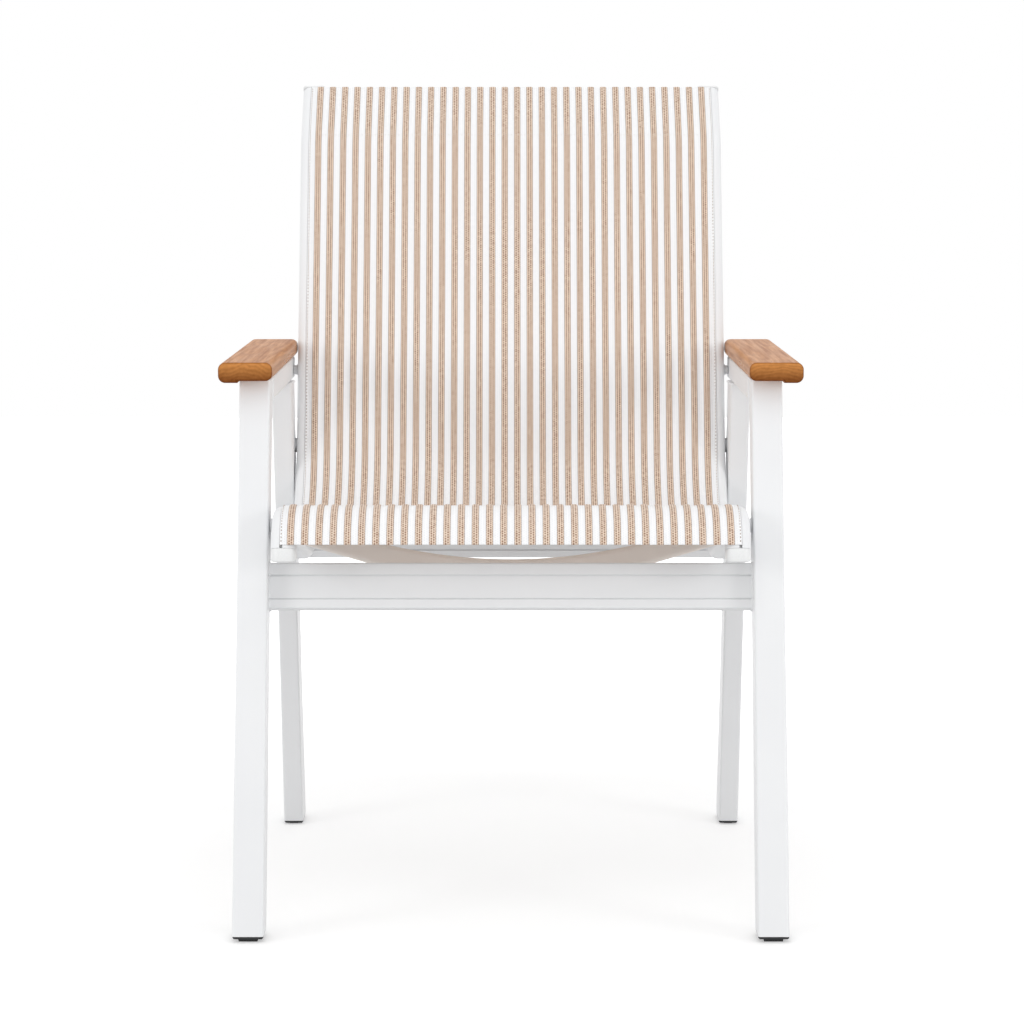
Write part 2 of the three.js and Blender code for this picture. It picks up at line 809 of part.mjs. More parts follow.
function sling() {
  const rows = (run, count) =>
    Array.from({ length: count }, (_, i) => run.start + (run.length * (i + 1)) / (count + 1));
  const extra = [...rows(seatStraight, seatRows), ...rows(backStraight, backRows)];
  return sweep(
    stationsBetween(slingFront, slingTop, extra).map((along) => ({
      outline: slingOutline(along),
      place: railPlace(along),
    })),
  );
}

add("sling", sling(), slingFabric);

// Rods in the sling's hems, which keep its edges in the grooves
function hemRod() {
  const outline = circle(slotX, -channelDepth, rodRadius, rodSides);
  const rows = stationsBetween(frontSeam + 2 * touch, topSeam - 2 * touch);
  return sweep(rows.map((along) => ({ outline, place: railPlace(along) })));
}

addPair("hem_rod", hemRod(), whiteNylon);

// Spreader bars: bowed away from the sitter, their ends square against the rails
function spreader(radius, splay) {
  const end = railInner - touch;
  const bend = Math.min(radius * Math.sin(splay), end);
  const rise = (x) =>
    x <= bend
      ? radius - Math.sqrt(radius ** 2 - x ** 2)
      : radius * (1 - Math.cos(splay)) + (x - bend) * Math.tan(splay);
  const slope = (x) => Math.min(Math.asin(Math.min(x, bend) / radius), splay);
  const side = [...Array.from({ length: barSteps }, (_, i) => (bend * (i + 1)) / barSteps), end];
  const outline = roundedBox({
    left: -spreaderThickness / 2,
    right: spreaderThickness / 2,
    low: -spreaderHeight / 2,
    high: spreaderHeight / 2,
    corner: spreaderCorner,
  });
  const rows = [...side.map((x) => -x).reverse(), 0, ...side].map((x) => {
    const tall = upwards.clone().divideScalar(Math.cos(slope(Math.abs(x))));
    const middle = new THREE.Vector3(x, 0, rise(Math.abs(x)) - rise(end));
    return { outline, place: placed(rearwards, tall, middle) };
  });
  const tap = screwGrip + 2 * touch;
  const hole = [end - tap, -end - overrun].map((x) =>
    crossDrill(screwRadius + touch, x, x + tap + overrun, { y: 0, z: 0 }),
  );
  return cut(sweep(rows), hole);
}

for (const { name, run, radius, splay, at } of spreaders) {
  const bar = add(`${name}_spreader`, spreader(radius, splay), powderCoat);
  bar.rotation.x = railPoint(run).heading;
  bar.position.copy(at);
}

// Screws from the rails' outer sides into the spreader bars
const screw = spreaderScrew(0, railWidth + screwGrip);

// A stepped round sleeve between the rail and the frame, with a touch left at each end
const spacer = (atRail, atFrame, length) =>
  turned([
    [boltHole, touch],
    [atRail, touch],
    [atRail, length * spacerStepShare],
    [atFrame, length * spacerStepShare],
    [atFrame, length - touch],
    [boltHole, length - touch],
    [boltHole, touch],
  ]);

// The button-headed bolt: its head lies on the rail's inner side
const bolt = (length) =>
  turned([
    [0, -boltHeadHeight],
    [boltHeadRadius * Math.SQRT1_2, -boltHeadHeight],
    [boltHeadRadius, -boltHeadHeight / 2],
    [boltHeadRadius, -touch],
    [boltRadius, -touch],
    [boltRadius, length],
    [0, length],
  ]);
const nutBore = boltHole / Math.cos(Math.PI / nutSides);
const nut = turned(
  [[nutBore, 0], [nutRadius, 0], [nutRadius, nutLength], [nutBore, nutLength], [nutBore, 0]],
  nutSides,
);

for (const [side, sign] of [["left", 1], ["right", -1]]) {
  const lay = (name, geometry, x, { y, z }, material, turn = -sign * quarterTurn) => {
    const mesh = add(`${name}_${side}`, geometry, material);
    mesh.rotation.z = turn;
    mesh.position.set(sign * x, y, z);
  };
  for (const { name, at } of spreaders) {
    lay(`${name}_spreader_screw`, screw, railOuter, at, stainless, sign * quarterTurn);
  }
  for (const { name, at, standoff, atRail, atFrame } of bolts) {
    const length = railWidth + standoff + tubeWall + touch + nutLength + boltTip;
    lay(`${name}_spacer`, spacer(atRail, atFrame, standoff), railOuter, at, powderCoat);
    lay(`${name}_bolt`, bolt(length), railInner, at, stainless);
    lay(`${name}_nut`, nut, railOuter + standoff + tubeWall + touch, at, stainless);
  }
}

// The origin is on the floor, under the middle of the chair
const bounds = new THREE.Box3().setFromObject(chair);
chair.position.y = -(bounds.min.y + bounds.max.y) / 2;

export default chair;
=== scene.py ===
import math

import bpy
import numpy as np
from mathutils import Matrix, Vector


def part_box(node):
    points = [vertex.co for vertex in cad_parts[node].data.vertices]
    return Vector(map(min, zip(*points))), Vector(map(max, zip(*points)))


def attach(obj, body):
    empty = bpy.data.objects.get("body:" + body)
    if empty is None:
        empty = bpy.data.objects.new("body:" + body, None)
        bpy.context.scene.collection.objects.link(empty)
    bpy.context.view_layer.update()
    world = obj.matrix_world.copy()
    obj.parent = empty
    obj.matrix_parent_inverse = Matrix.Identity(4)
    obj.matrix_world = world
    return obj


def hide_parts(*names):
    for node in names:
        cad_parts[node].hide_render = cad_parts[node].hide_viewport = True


# Sling patio chair, in metres, +Z up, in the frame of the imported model. The sitter faces -Y, and left and
# right are the sitter's own. Each section makes one piece of the chair or a group of like pieces.
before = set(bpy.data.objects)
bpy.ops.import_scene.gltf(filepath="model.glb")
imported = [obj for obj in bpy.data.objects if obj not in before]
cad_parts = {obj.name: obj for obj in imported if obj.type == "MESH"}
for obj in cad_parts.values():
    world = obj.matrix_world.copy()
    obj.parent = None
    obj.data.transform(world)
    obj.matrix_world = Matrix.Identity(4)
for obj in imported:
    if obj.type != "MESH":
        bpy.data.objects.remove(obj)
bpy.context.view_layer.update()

# ---- Legs ----
# Leaning legs of extruded aluminium tube with rounded edges, sawn level at both ends, welded and then
# powder coated white with the rest of the frame.
front_lean = math.radians(15.5)  # leans back
rear_lean = math.radians(15.3)  # leans forward
tube_corner = 0.0025
corner_steps = 8
flat_margin = 0.0004  # keeps the shading of a flat clear of its round edges
edge_angle = 35  # degrees: faces that meet at more keep a sharp edge between them
quarter = math.pi / 2
sides = {"left": 1, "right": -1}  # and the sign of x there


def rounded_loop(width, depth, radius):
    """A rectangle with round corners about zero, as points (x, y): each corner is its centre + radius *
    (cos a, sin a) over a quarter turn, with one more point a margin along the flat on either side."""
    corners = np.array([[1, 1], [-1, 1], [-1, -1], [1, -1]])
    centres = corners * [width / 2 - radius, depth / 2 - radius]
    angles = np.arange(len(corners))[:, None] * quarter + np.linspace(0, quarter, corner_steps + 1)
    around = np.stack([np.cos(angles), np.sin(angles)], -1)
    along = np.stack([-around[..., 1], around[..., 0]], -1)
    arcs = centres[:, None] + radius * around
    before = arcs[:, :1] - flat_margin * along[:, :1]
    after = arcs[:, -1:] + flat_margin * along[:, -1:]
    return np.concatenate([before, arcs, after], 1).reshape(-1, 2)


def points_at(x, y, z):
    """Points from their coordinates, each spread over the axes of the others."""
    return np.stack(np.broadcast_arrays(x, y, z), -1)


def facing_out(mesh):
    """Turns the faces over where the volume, the sum of a . (b x c) / 6 over the triangles, is negative."""
    points = np.empty(len(mesh.vertices) * 3)
    mesh.vertices.foreach_get("co", points)
    mesh.calc_loop_triangles()
    order = np.empty(len(mesh.loop_triangles) * 3, np.int32)
    mesh.loop_triangles.foreach_get("vertices", order)
    a, b, c = points.reshape(-1, 3)[order.reshape(-1, 3)].transpose(1, 0, 2)
    if (a * np.cross(b, c)).sum() < 0:
        mesh.flip_normals()


def mesh_of(name, points, faces, sharp=edge_angle):
    """A mesh with smooth shading, apart from the edges where two faces meet at more than sharp degrees."""
    mesh = bpy.data.meshes.new(name)
    mesh.from_pydata(np.reshape(points, (-1, 3)).tolist(), [], faces)
    mesh.polygons.foreach_set("use_smooth", np.ones(len(faces), bool))
    facing_out(mesh)
    mesh.set_sharp_from_angle(angle=math.radians(sharp))
    return mesh


def ring_faces(rings, around, start=0):
    """Quads from point j of ring i to its neighbours on the next ring, and a face across each end ring."""
    i, j = np.meshgrid(np.arange(rings - 1) * around, np.arange(around), indexing="ij")
    beside = (j + 1) % around
    quads = np.stack([i + j, i + beside, i + around + beside, i + around + j], -1) + start
    first = np.arange(around)[::-1] + start
    last = np.arange(around) + (rings - 1) * around + start
    return [*quads.reshape(-1, 4).tolist(), first.tolist(), last.tolist()]


def skin(name, rings, sharp=edge_angle):
    """The closed surface through a row of rings of points, rings[i, j]."""
    return mesh_of(name, rings, ring_faces(*rings.shape[:2]), sharp)


def add_piece(name, mesh, material, slot, *nodes):
    """Shows a mesh as a piece of the chair that stands for the given CAD nodes."""
    mesh.materials.append(material)
    piece = bpy.data.objects.new(name, mesh)
    bpy.context.scene.collection.objects.link(piece)
    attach(piece, "root")
    if nodes:
        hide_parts(*nodes)
    return piece


def add_pair(name, rings, material, slot, node, sharp=edge_angle):
    """A left piece and its mirror image, each standing for the CAD node of its side."""
    for side, turn in sides.items():
        mesh = skin(f"{name}_{side}", rings * [turn, 1, 1], sharp)
        add_piece(f"{name}_{side}", mesh, material, slot, f"{node}_{side}")


def linear(colour):
    """An sRGB hex colour as linear RGBA: c / 12.92 up to 0.04045, and ((c + 0.055) / 1.055) ** 2.4 above."""
    c = np.array([int(colour[i : i + 2], 16) for i in (1, 3, 5)]) / 255
    return [*np.where(c <= 0.04045, c / 12.92, ((c + 0.055) / 1.055) ** 2.4).tolist(), 1.0]


def set_inputs(node, inputs):
    """Fills a node's inputs: nodes and sockets are linked in, hex colours made linear, and values put in."""
    for key, value in inputs.items():
        source = value.outputs[0] if isinstance(value, bpy.types.Node) else value
        if isinstance(source, bpy.types.NodeSocket):
            node.id_data.links.new(source, node.inputs[key])
        else:
            node.inputs[key].default_value = linear(source) if isinstance(source, str) else source


def add_node(tree, kind, inputs=(), **settings):
    """Adds a shader node with its inputs and its settings."""
    made = tree.nodes.new("ShaderNode" + kind)
    for name, value in settings.items():
        setattr(made, name, value)
    set_inputs(made, dict(inputs))
    return made


def new_material(name, **constants):
    """A material with a Principled shader, whose sockets take the constants, and its node tree."""
    material = bpy.data.materials.new(name)
    material.use_nodes = True
    shader = material.node_tree.nodes["Principled BSDF"]
    for key, value in constants.items():
        shader.inputs[key.replace("_", " ")].default_value = value
    return material, material.node_tree, shader


# Powder coat: polyester powder baked on, which gives a satin white film with a faint orange peel, drawn 3 mm
# wide because the real ripple of about 1 mm is too fine to show, and clouds of slightly greyer film.
coat_white = "#F0F1F2"
coat_shaded = "#E9EAEC"
coat_roughness, coat_ior = 0.46, 1.5
peel_width, peel_height, peel_strength = 0.003, 0.0001, 0.25
cloud_width = 0.09


def baked_powder(name, colour, shade):
    """A film whose tone is mixed by the clouds and whose height is lifted by the ripple."""
    material, tree, shader = new_material(name, Roughness=coat_roughness, IOR=coat_ior)
    place = add_node(tree, "TexCoord").outputs["Object"]
    peel = add_node(tree, "TexNoise", {"Vector": place, "Scale": 1 / peel_width, "Detail": 1})
    cloud = add_node(tree, "TexNoise", {"Vector": place, "Scale": 1 / cloud_width, "Detail": 3})
    tint = add_node(tree, "MixRGB", {"Fac": cloud, "Color1": colour, "Color2": shade})
    relief = {"Height": peel, "Strength": peel_strength, "Distance": peel_height}
    set_inputs(shader, {"Base Color": tint, "Normal": add_node(tree, "Bump", relief)})
    return material


powder_coat = baked_powder("powder_coat_satin_white", coat_white, coat_shaded)


def leg_rings(node, lean):
    """A rounded tube section carried straight from the foot to the top of the node's box, with y = z *
    tan(lean)."""
    low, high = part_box(node)
    shift = (high.z - low.z) * math.tan(lean)
    reach = high.y - low.y - abs(shift)
    x, y = rounded_loop(high.x - low.x, reach, tube_corner).T
    foot_y = low.y + max(-shift, 0) + reach / 2
    z = np.array([[low.z], [high.z]])
    return points_at(x + (low.x + high.x) / 2, y + foot_y + (z - low.z) * math.tan(lean), z)


front_leg = leg_rings("front_leg_left", front_lean)
rear_leg = leg_rings("rear_leg_left", -rear_lean)
add_pair("front_leg_tube", front_leg, powder_coat, "powder_coat", "front_leg")
add_pair("rear_leg_tube", rear_leg, powder_coat, "powder_coat", "rear_leg")

# ---- Foot glides ----
# Black nylon glides pushed up into the legs, each with a flange under the tube and a low pad on the floor.
# Moulded nylon is dull with a fine spark-eroded grain, drawn 1.5 mm wide so that it shows.
glide_black = "#1E1E20"
black_roughness = 0.55
nylon_ior = 1.53
grain_width, grain_height, grain_strength = 0.0015, 0.0001, 0.3
grain_shade = 0.9  # of the colour


def moulded_nylon(name, colour, roughness):
    """A nylon whose tone and height both follow the grain."""
    material, tree, shader = new_material(name, Roughness=roughness, IOR=nylon_ior)
    place = add_node(tree, "TexCoord").outputs["Object"]
    grain = add_node(tree, "TexNoise", {"Vector": place, "Scale": 1 / grain_width, "Detail": 2})
    shade = [*(c * grain_shade for c in linear(colour)[:3]), 1.0]
    tint = add_node(tree, "MixRGB", {"Fac": grain, "Color1": colour, "Color2": shade})
    relief = {"Height": grain, "Strength": grain_strength, "Distance": grain_height}
    set_inputs(shader, {"Base Color": tint, "Normal": add_node(tree, "Bump", relief)})
    return material


black_nylon = moulded_nylon("nylon_moulded_black", glide_black, black_roughness)


def finish_nodes(names, material):
    """Gives CAD nodes whose shape is right a procedural material."""
    for name in names:
        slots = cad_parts[name].data.materials
        slots.clear()
        slots.append(material)


finish_nodes([f"{end}_foot_glide_{side}" for end in ("front", "rear") for side in sides], black_nylon)

# ---- Arm tubes ----
# Level tubes of the legs' stock, cut aslant at the front to butt on the front legs, with the rear legs
# welded to their undersides.


def arm_rings():
    """The rounded section in x and z, carried along y from a butt at y = z * tan(lean) to a square end."""
    low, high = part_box("arm_tube_left")
    x, z = rounded_loop(high.x - low.x, high.z - low.z, tube_corner).T
    z = z + (low.z + high.z) / 2
    butt = low.y + (z - low.z) * math.tan(front_lean)
    return points_at(x + (low.x + high.x) / 2, [butt, np.full(len(z), high.y)], z)


arm_tube = arm_rings()
add_pair("arm_frame_tube", arm_tube, powder_coat, "powder_coat", "arm_tube")

# ---- Arm tube plugs ----
# White nylon plugs that close the rear ends of the arm tubes: a plate with an eased edge over the tube's end
# and a spigot inside it.
nylon_white = "#F0F1F1"
white_roughness = 0.42
plug_ease = 0.0005
plug_gap = 0.0003
tube_wall = 0.002
white_nylon = moulded_nylon("nylon_moulded_white", nylon_white, white_roughness)


def plug_rings():
    """Rounded sections along y: the spigot, drawn in by the tube's wall, then the plate with its eased
    edge."""
    low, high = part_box("arm_tube_plug_left")
    tube_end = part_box("arm_tube_left")[1].y
    inset = tube_wall + plug_gap
    steps = [
        (low.y, inset),
        (tube_end + plug_gap, inset),
        (tube_end + plug_gap, 0),
        (high.y - plug_ease, 0),
        (high.y, plug_ease),
    ]
    width, height = high.x - low.x, high.z - low.z
    rings = []
    for y, drawn_in in steps:
        section = rounded_loop(width - 2 * drawn_in, height - 2 * drawn_in, tube_corner - drawn_in)
        x, z = (section + [(low.x + high.x) / 2, (low.z + high.z) / 2]).T
        rings.append(points_at(x, y, z))
    return np.array(rings)


add_pair("arm_plug", plug_rings(), white_nylon, "white_nylon", "arm_tube_plug")

# ---- Aprons ----
# Ribbed aluminium extrusions between the legs, which lean with them: a rounded lip along the top and the
# bottom, a narrow groove inside each lip, and a slightly sunken panel between the grooves.
apron_height = 0.0484
apron_depth = 0.020
apron_corner = 0.0025
apron_top_lip = 0.013
apron_bottom_lip = 0.0094
apron_groove_width = 0.0016
apron_groove_depth = 0.0020
apron_panel_recess = 0.0005
apron_ease = 0.0003
apron_edge_angle = 30


def apron_loop():
    """The section as points (depth, height): a rounded box whose front line, at the least depth, steps into
    the two grooves and the panel."""
    box = rounded_loop(apron_depth, apron_height, apron_corner)
    top = apron_height / 2 - apron_top_lip
    bottom = apron_bottom_lip - apron_height / 2
    front = -apron_depth / 2
    deep, panel = front + apron_groove_depth, front + apron_panel_recess
    steps = [
        (front, top + apron_ease),
        (front + apron_ease, top),
        (deep, top),
        (deep, top - apron_groove_width),
        (panel, top - apron_groove_width),
        (panel, bottom + apron_groove_width),
        (deep, bottom + apron_groove_width),
        (deep, bottom),
        (front + apron_ease, bottom),
        (front, bottom - apron_ease),
    ]
    half = len(box) // 2
    return np.concatenate([box[:half], steps, box[half:]])


def apron_rings(node, lean):
    """The section turned by lean about the middle of the node's box and carried straight along x."""
    low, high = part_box(node)
    depth, height = apron_loop().T
    y = depth * math.cos(lean) + height * math.sin(lean) + (low.y + high.y) / 2
    z = height * math.cos(lean) - depth * math.sin(lean) + (low.z + high.z) / 2
    return points_at([[low.x], [high.x]], y, z)


for end, lean in (("front", front_lean), ("rear", -rear_lean)):
    name = f"{end}_apron_extrusion"
    mesh = skin(name, apron_rings(f"{end}_apron", lean), apron_edge_angle)
    add_piece(name, mesh, powder_coat, "powder_coat", f"{end}_apron")

# ---- Welds ----
# Small fillet welds, laid round each butt before the frame was coated. Each bead has the ripple of the
# puddles that it was made of.
bead_radius = 0.0012
bead_ripple = 0.12
puddle_length = 0.0022
bead_sides = 8
bead_spacing = 0.0006
round_angle = 80  # keeps a small round shape smooth all over


def bead(name, path):
    """A round section carried round a closed path, its radius r * (1 + ripple * cos(2 pi s / puddle))."""
    closed = np.concatenate([path, path[:1]])
    run = np.concatenate([[0], np.cumsum(np.linalg.norm(np.diff(closed, axis=0), axis=1))])
    count = round(run[-1] / bead_spacing)
    s = np.linspace(0, run[-1], count, endpoint=False)
    line = np.stack([np.interp(s, run, closed[:, k]) for k in range(3)], -1)
    ahead = np.roll(line, -1, 0) - np.roll(line, 1, 0)
    ahead /= np.linalg.norm(ahead, axis=1)[:, None]
    middle = line.mean(0)
    flat = np.cross(path[len(path) // 3] - middle, path[0] - middle)
    flat /= np.linalg.norm(flat)
    side = np.cross(ahead, flat)
    side /= np.linalg.norm(side, axis=1)[:, None]
    puddles = round(run[-1] / puddle_length)
    radius = bead_radius * (1 + bead_ripple * np.cos(2 * math.pi * puddles * s / run[-1]))
    angle = np.arange(bead_sides) * 2 * math.pi / bead_sides
    rings = (
        line[:, None]
        + (radius[:, None] * np.cos(angle))[..., None] * side[:, None]
        + (radius[:, None] * np.sin(angle))[..., None] * flat
    )
    i, j = np.meshgrid(np.arange(count), np.arange(bead_sides), indexing="ij")
    next_i, next_j = (i + 1) % count, (j + 1) % bead_sides
    here, there = i * bead_sides, next_i * bead_sides
    quads = np.stack([here + j, here + next_j, there + next_j, there + j], -1).reshape(-1, 4)
    add_piece(name, mesh_of(name, rings, quads.tolist(), round_angle), powder_coat, "powder_coat")


apron_welds = {
    "front": apron_rings("front_apron", front_lean)[1],
    "rear": apron_rings("rear_apron", -rear_lean)[1],
}
for side, turn in sides.items():
    flip = [turn, 1, 1]
    bead(f"arm_weld_{side}", arm_tube[0] * flip)
    bead(f"rear_leg_weld_{side}", rear_leg[1] * flip)
    for end, loop in apron_welds.items():
        bead(f"{end}_apron_weld_{side}", loop * flip)

# ---- Side rails ----
# Aluminium extrusions bent to the chair's S-shaped side line, with rounded edges and a keyhole groove along
# the face that carries the sling. They are coated like the frame.
clear_width = 0.443  # between the two rails
rail_width = 0.0255
rail_depth = 0.038
rail_corner = 0.009
rail_front = 0.0608  # foremost point behind the front foot's toe
rail_end_height = 0.3837
groove_inset = 0.011
slot_width = 0.003
channel_radius = 0.004
channel_depth = 0.0065
front_cap_length = 0.015
top_cap_length = 0.003
seam_gap = 0.0003
channel_steps = 20
bend_step = math.radians(2.5)
bend_margin = 0.001
rail_edge_angle = 50
leg_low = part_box("front_leg_left")[0]
toe_y = leg_low.y - leg_low.z * math.tan(front_lean)
rail_inner = clear_width / 2
rail_outer = rail_inner + rail_width
slot_x = rail_outer - groove_inset

# Runs of the side line from the front end up to the top end: the front bend, the seat, the bend between seat
# and back, the back, the head bend and the head
front_radius, seat_length, seat_back_radius = 0.0518, 0.228, 0.110
back_length, head_radius, head_length = 0.3605, 0.060, 0.0735
seat_slope, recline, head_roll = np.radians([11.4, 18.5, 24.5])
seat_run, bend_run, back_run, head_bend_run = 1, 2, 3, 4
turns = np.array([-(quarter + seat_slope), 0, quarter - recline + seat_slope, 0, -head_roll, 0])
lengths = np.array([0, seat_length, 0, back_length, 0, head_length])
lengths += abs(turns) * [front_radius, 0, seat_back_radius, 0, head_radius, 0]
run_ends = np.cumsum(lengths)
run_starts = run_ends - lengths
rail_length = run_ends[-1]


def side_line(along):
    """Points (y, z) and headings of the side line at distances along it. On a run with curvature k = turn /
    length the heading is h0 + k * s and the point moves by (sin h - sin h0, cos h0 - cos h) / k; on a
    straight run it moves by s * (cos h, sin h). Each run starts where the one before it ends."""
    along = np.asarray(along, float)
    y = np.full(along.shape, toe_y + rail_front)
    z = np.full(along.shape, rail_end_height)
    heading = np.full(along.shape, quarter)
    for start, length, turn in zip(run_starts, lengths, turns):
        s = np.clip(along - start, 0 if start > 0 else None, length)
        if turn:
            k = turn / length
            y += (np.sin(heading + k * s) - np.sin(heading)) / k
            z += (np.cos(heading) - np.cos(heading + k * s)) / k
            heading = heading + k * s
        else:
            y += s * np.cos(heading)
            z += s * np.sin(heading)
    return y, z, heading


def along_rail(along, across, out):
    """Places points (across, out of the sling face) on the side line: y - out * sin h and z + out * cos h."""
    y, z, heading = side_line(along)
    return points_at(across, y - out * np.sin(heading), z + out * np.cos(heading))


def rail_stations(start, end):
    """Distances at which rail sections stand: every few degrees of a bend, and close to each end of a
    straight."""
    found = [start, end]
    for run_start, length, turn in zip(run_starts, lengths, turns):
        if turn:
            found.extend(run_start + np.linspace(0, length, math.ceil(abs(turn) / bend_step) + 1))
        else:
            found.extend([run_start + bend_margin, run_start + length - bend_margin])
    found = np.array(sorted(found))
    inside = found[(found > start + bend_margin / 2) & (found < end - bend_margin / 2)]
    return np.concatenate([[start], inside, [end]])


def rail_loop():
    """The section as points (across, out): a rounded box below the sling face, cut by the keyhole groove,
    which is a slot and a circle of the channel's radius centred at the channel's depth."""
    box = rounded_loop(rail_width, rail_depth, rail_corner) + [rail_inner + rail_width / 2, -rail_depth / 2]
    half_slot = slot_width / 2
    opening = math.asin(half_slot / channel_radius)
    angles = np.linspace(quarter - opening, opening - 3 * quarter, channel_steps + 1)
    channel = np.stack([channel_radius * np.cos(angles), channel_radius * np.sin(angles)], -1)
    lips = np.array([[half_slot, 0], *(channel - [0, channel_depth]), [-half_slot, 0]]) + [slot_x, 0]
    corner = len(box) // 4
    return np.concatenate([box[:corner], lips, box[corner:]])


rail_run = rail_stations(front_cap_length + seam_gap, rail_length - top_cap_length - seam_gap)
rail_section = rail_loop()
rail = along_rail(rail_run[:, None], rail_section[:, 0], rail_section[:, 1])
add_pair("sling_rail_extrusion", rail, powder_coat, "powder_coat", "sling_rail", rail_edge_angle)

# ---- Rail end caps ----
# White nylon mouldings pushed into both ends of each rail: a long cap with a rounded end at the front, and a
# thin one at the top.
front_cap_round = 0.0024
top_cap_round = 0.001
top_cap_corner = 0.003  # squarer than the rail
plain_steps, round_steps = 6, 6


def cap_rings(seam, end, radius, corner):
    """The rail's rounded box from the seam to the end, drawn in by r * (1 - sin a) over the last radius."""
    outwards = math.copysign(1, end - seam)
    a = np.linspace(0, quarter, round_steps + 1)
    plain = seam + outwards * np.linspace(0, abs(end - seam) - radius, plain_steps, endpoint=False)
    along = np.concatenate([plain, end - outwards * radius * (1 - np.sin(a))])
    drawn_in = np.concatenate([np.zeros(len(plain)), radius * (1 - np.cos(a))])
    rings = []
    for s, inset in zip(along, drawn_in):
        section = rounded_loop(rail_width - 2 * inset, rail_depth - 2 * inset, corner - inset)
        section = section + [rail_inner + rail_width / 2, -rail_depth / 2]
        rings.append(along_rail(s, section[:, 0], section[:, 1]))
    return np.array(rings)


front_cap = cap_rings(front_cap_length, 0, front_cap_round, rail_corner)
top_cap = cap_rings(rail_length - top_cap_length, rail_length, top_cap_round, top_cap_corner)
add_pair("front_cap_moulding", front_cap, white_nylon, "white_nylon", "rail_cap_front")
add_pair("top_cap_moulding", top_cap, white_nylon, "white_nylon", "rail_cap_top")

# ---- Sling ----
# One length of woven vinyl-coated polyester, stretched between the grooves. Thicker tan warp yarns stand up
# as 32 rounded stripes on flat white cloth. The top and the front edge are folded under and sewn.
stripe_count = 32
stripe_pitch = 0.01459
stripe_half_width = 0.00365
stripe_rise = 0.0012
cloth_thickness = 0.001
hem_fold = 0.0009  # the second layer under a hem
top_hem = 0.080
front_hem = 0.012
front_edge = front_cap_length + 0.0034
top_edge = rail_length - top_cap_length - 0.001
hem_ramp = 0.0004  # along the cloth, from one layer to two
hem_side = 0.001  # between the second layer and a rail
fold_radius = 0.0009
fold_steps = 4
edge_depth = 0.0017
edge_clear = 0.0025  # from an edge to the first plain row
cloth_edge_angle = 70
row_steps = [0.003, 0.0115, 0.004, 0.0125, 0.0026, 0.009]  # between rows, for each run of the side line
seat_sag, bend_lift, back_sag = 0.005, 0.004, 0.003
edge_rounding = np.array([0.0, 0.0003, 0.0008, 0.0016])
edge_share = np.array([0.35, 0.8, 1.0, 1.0])  # of the cloth's thickness, close to its edges
rib_share = np.array([0.2, 0.6, 0.88, 1.0])  # of a stripe's height, which rolls over the fold

stripe_centres = (np.arange(stripe_count) - (stripe_count - 1) / 2) * stripe_pitch
across_stripe = np.array([-1, -0.94, -0.76, -0.4, 0, 0.4, 0.76, 0.94, 1]) * stripe_half_width
turned_edge = slot_x + 0.00080  # against the groove's outer lip
flat_end = turned_edge - fold_radius
fold = flat_end + np.linspace(0, quarter * fold_radius, fold_steps + 1)
margin = np.concatenate([fold, fold[-1:] + edge_depth])
across = np.concatenate([-margin[::-1], (stripe_centres[:, None] + across_stripe).ravel(), margin])


def cloth_rows():
    """Distances of the sling's rows: close together in the bends, at the hems and at the two edges."""
    rows = [
        start + np.linspace(0, length, math.ceil(length / step), endpoint=False)
        for start, length, step in zip(run_starts, lengths, row_steps)
    ]
    front_seam, top_seam = front_edge + front_hem, top_edge - top_hem
    seams = [front_seam, front_seam + hem_ramp, top_seam - hem_ramp, top_seam]
    rows = np.sort(np.concatenate([*rows, seams]))
    inside = rows[(rows > front_edge + edge_clear) & (rows < top_edge - edge_clear)]
    return np.concatenate([front_edge + edge_rounding, inside, (top_edge - edge_rounding)[::-1]])


def bump_over(along, run):
    """sin(pi t) ** 2 over a run, with t the share of the run, and 0 elsewhere."""
    share = np.clip((along - run_starts[run]) / lengths[run], 0, 1)
    return np.sin(math.pi * share) ** 2


def cloth(along, u):
    """The cloth's middle surface, at u across it, as (across, out, normal across, normal out). It is flat to
    the groove, turns down round the fold's radius r, x = x0 + r sin a and out = -r (1 - cos a), and hangs
    straight. Between the rails it sags by the sum of the runs' bumps times 1 - (u / u0) ** 2."""
    turned = np.clip((np.abs(u) - flat_end) / fold_radius, 0, quarter)
    x = np.sign(u) * (np.minimum(np.abs(u), flat_end) + fold_radius * np.sin(turned))
    down = fold_radius * (1 - np.cos(turned)) + np.maximum(np.abs(u) - flat_end - quarter * fold_radius, 0)
    drop = (
        seat_sag * bump_over(along, seat_run)
        - bend_lift * bump_over(along, bend_run)
        + back_sag * bump_over(along, back_run)
    )
    sag = drop * np.clip(1 - (u / slot_x) ** 2, 0, 1)
    out = seam_gap + cloth_thickness / 2 - down - sag
    return x, out, np.sign(u) * np.sin(turned), np.cos(turned)


def rib(u):
    """How far a stripe stands up: rise * (1 - (d / half width) ** 4) ** 0.5, with d from the stripe's
    middle."""
    d = np.abs(u[..., None] - stripe_centres).min(-1) / stripe_half_width
    return stripe_rise * np.sqrt(np.clip(1 - d**4, 0, 1))


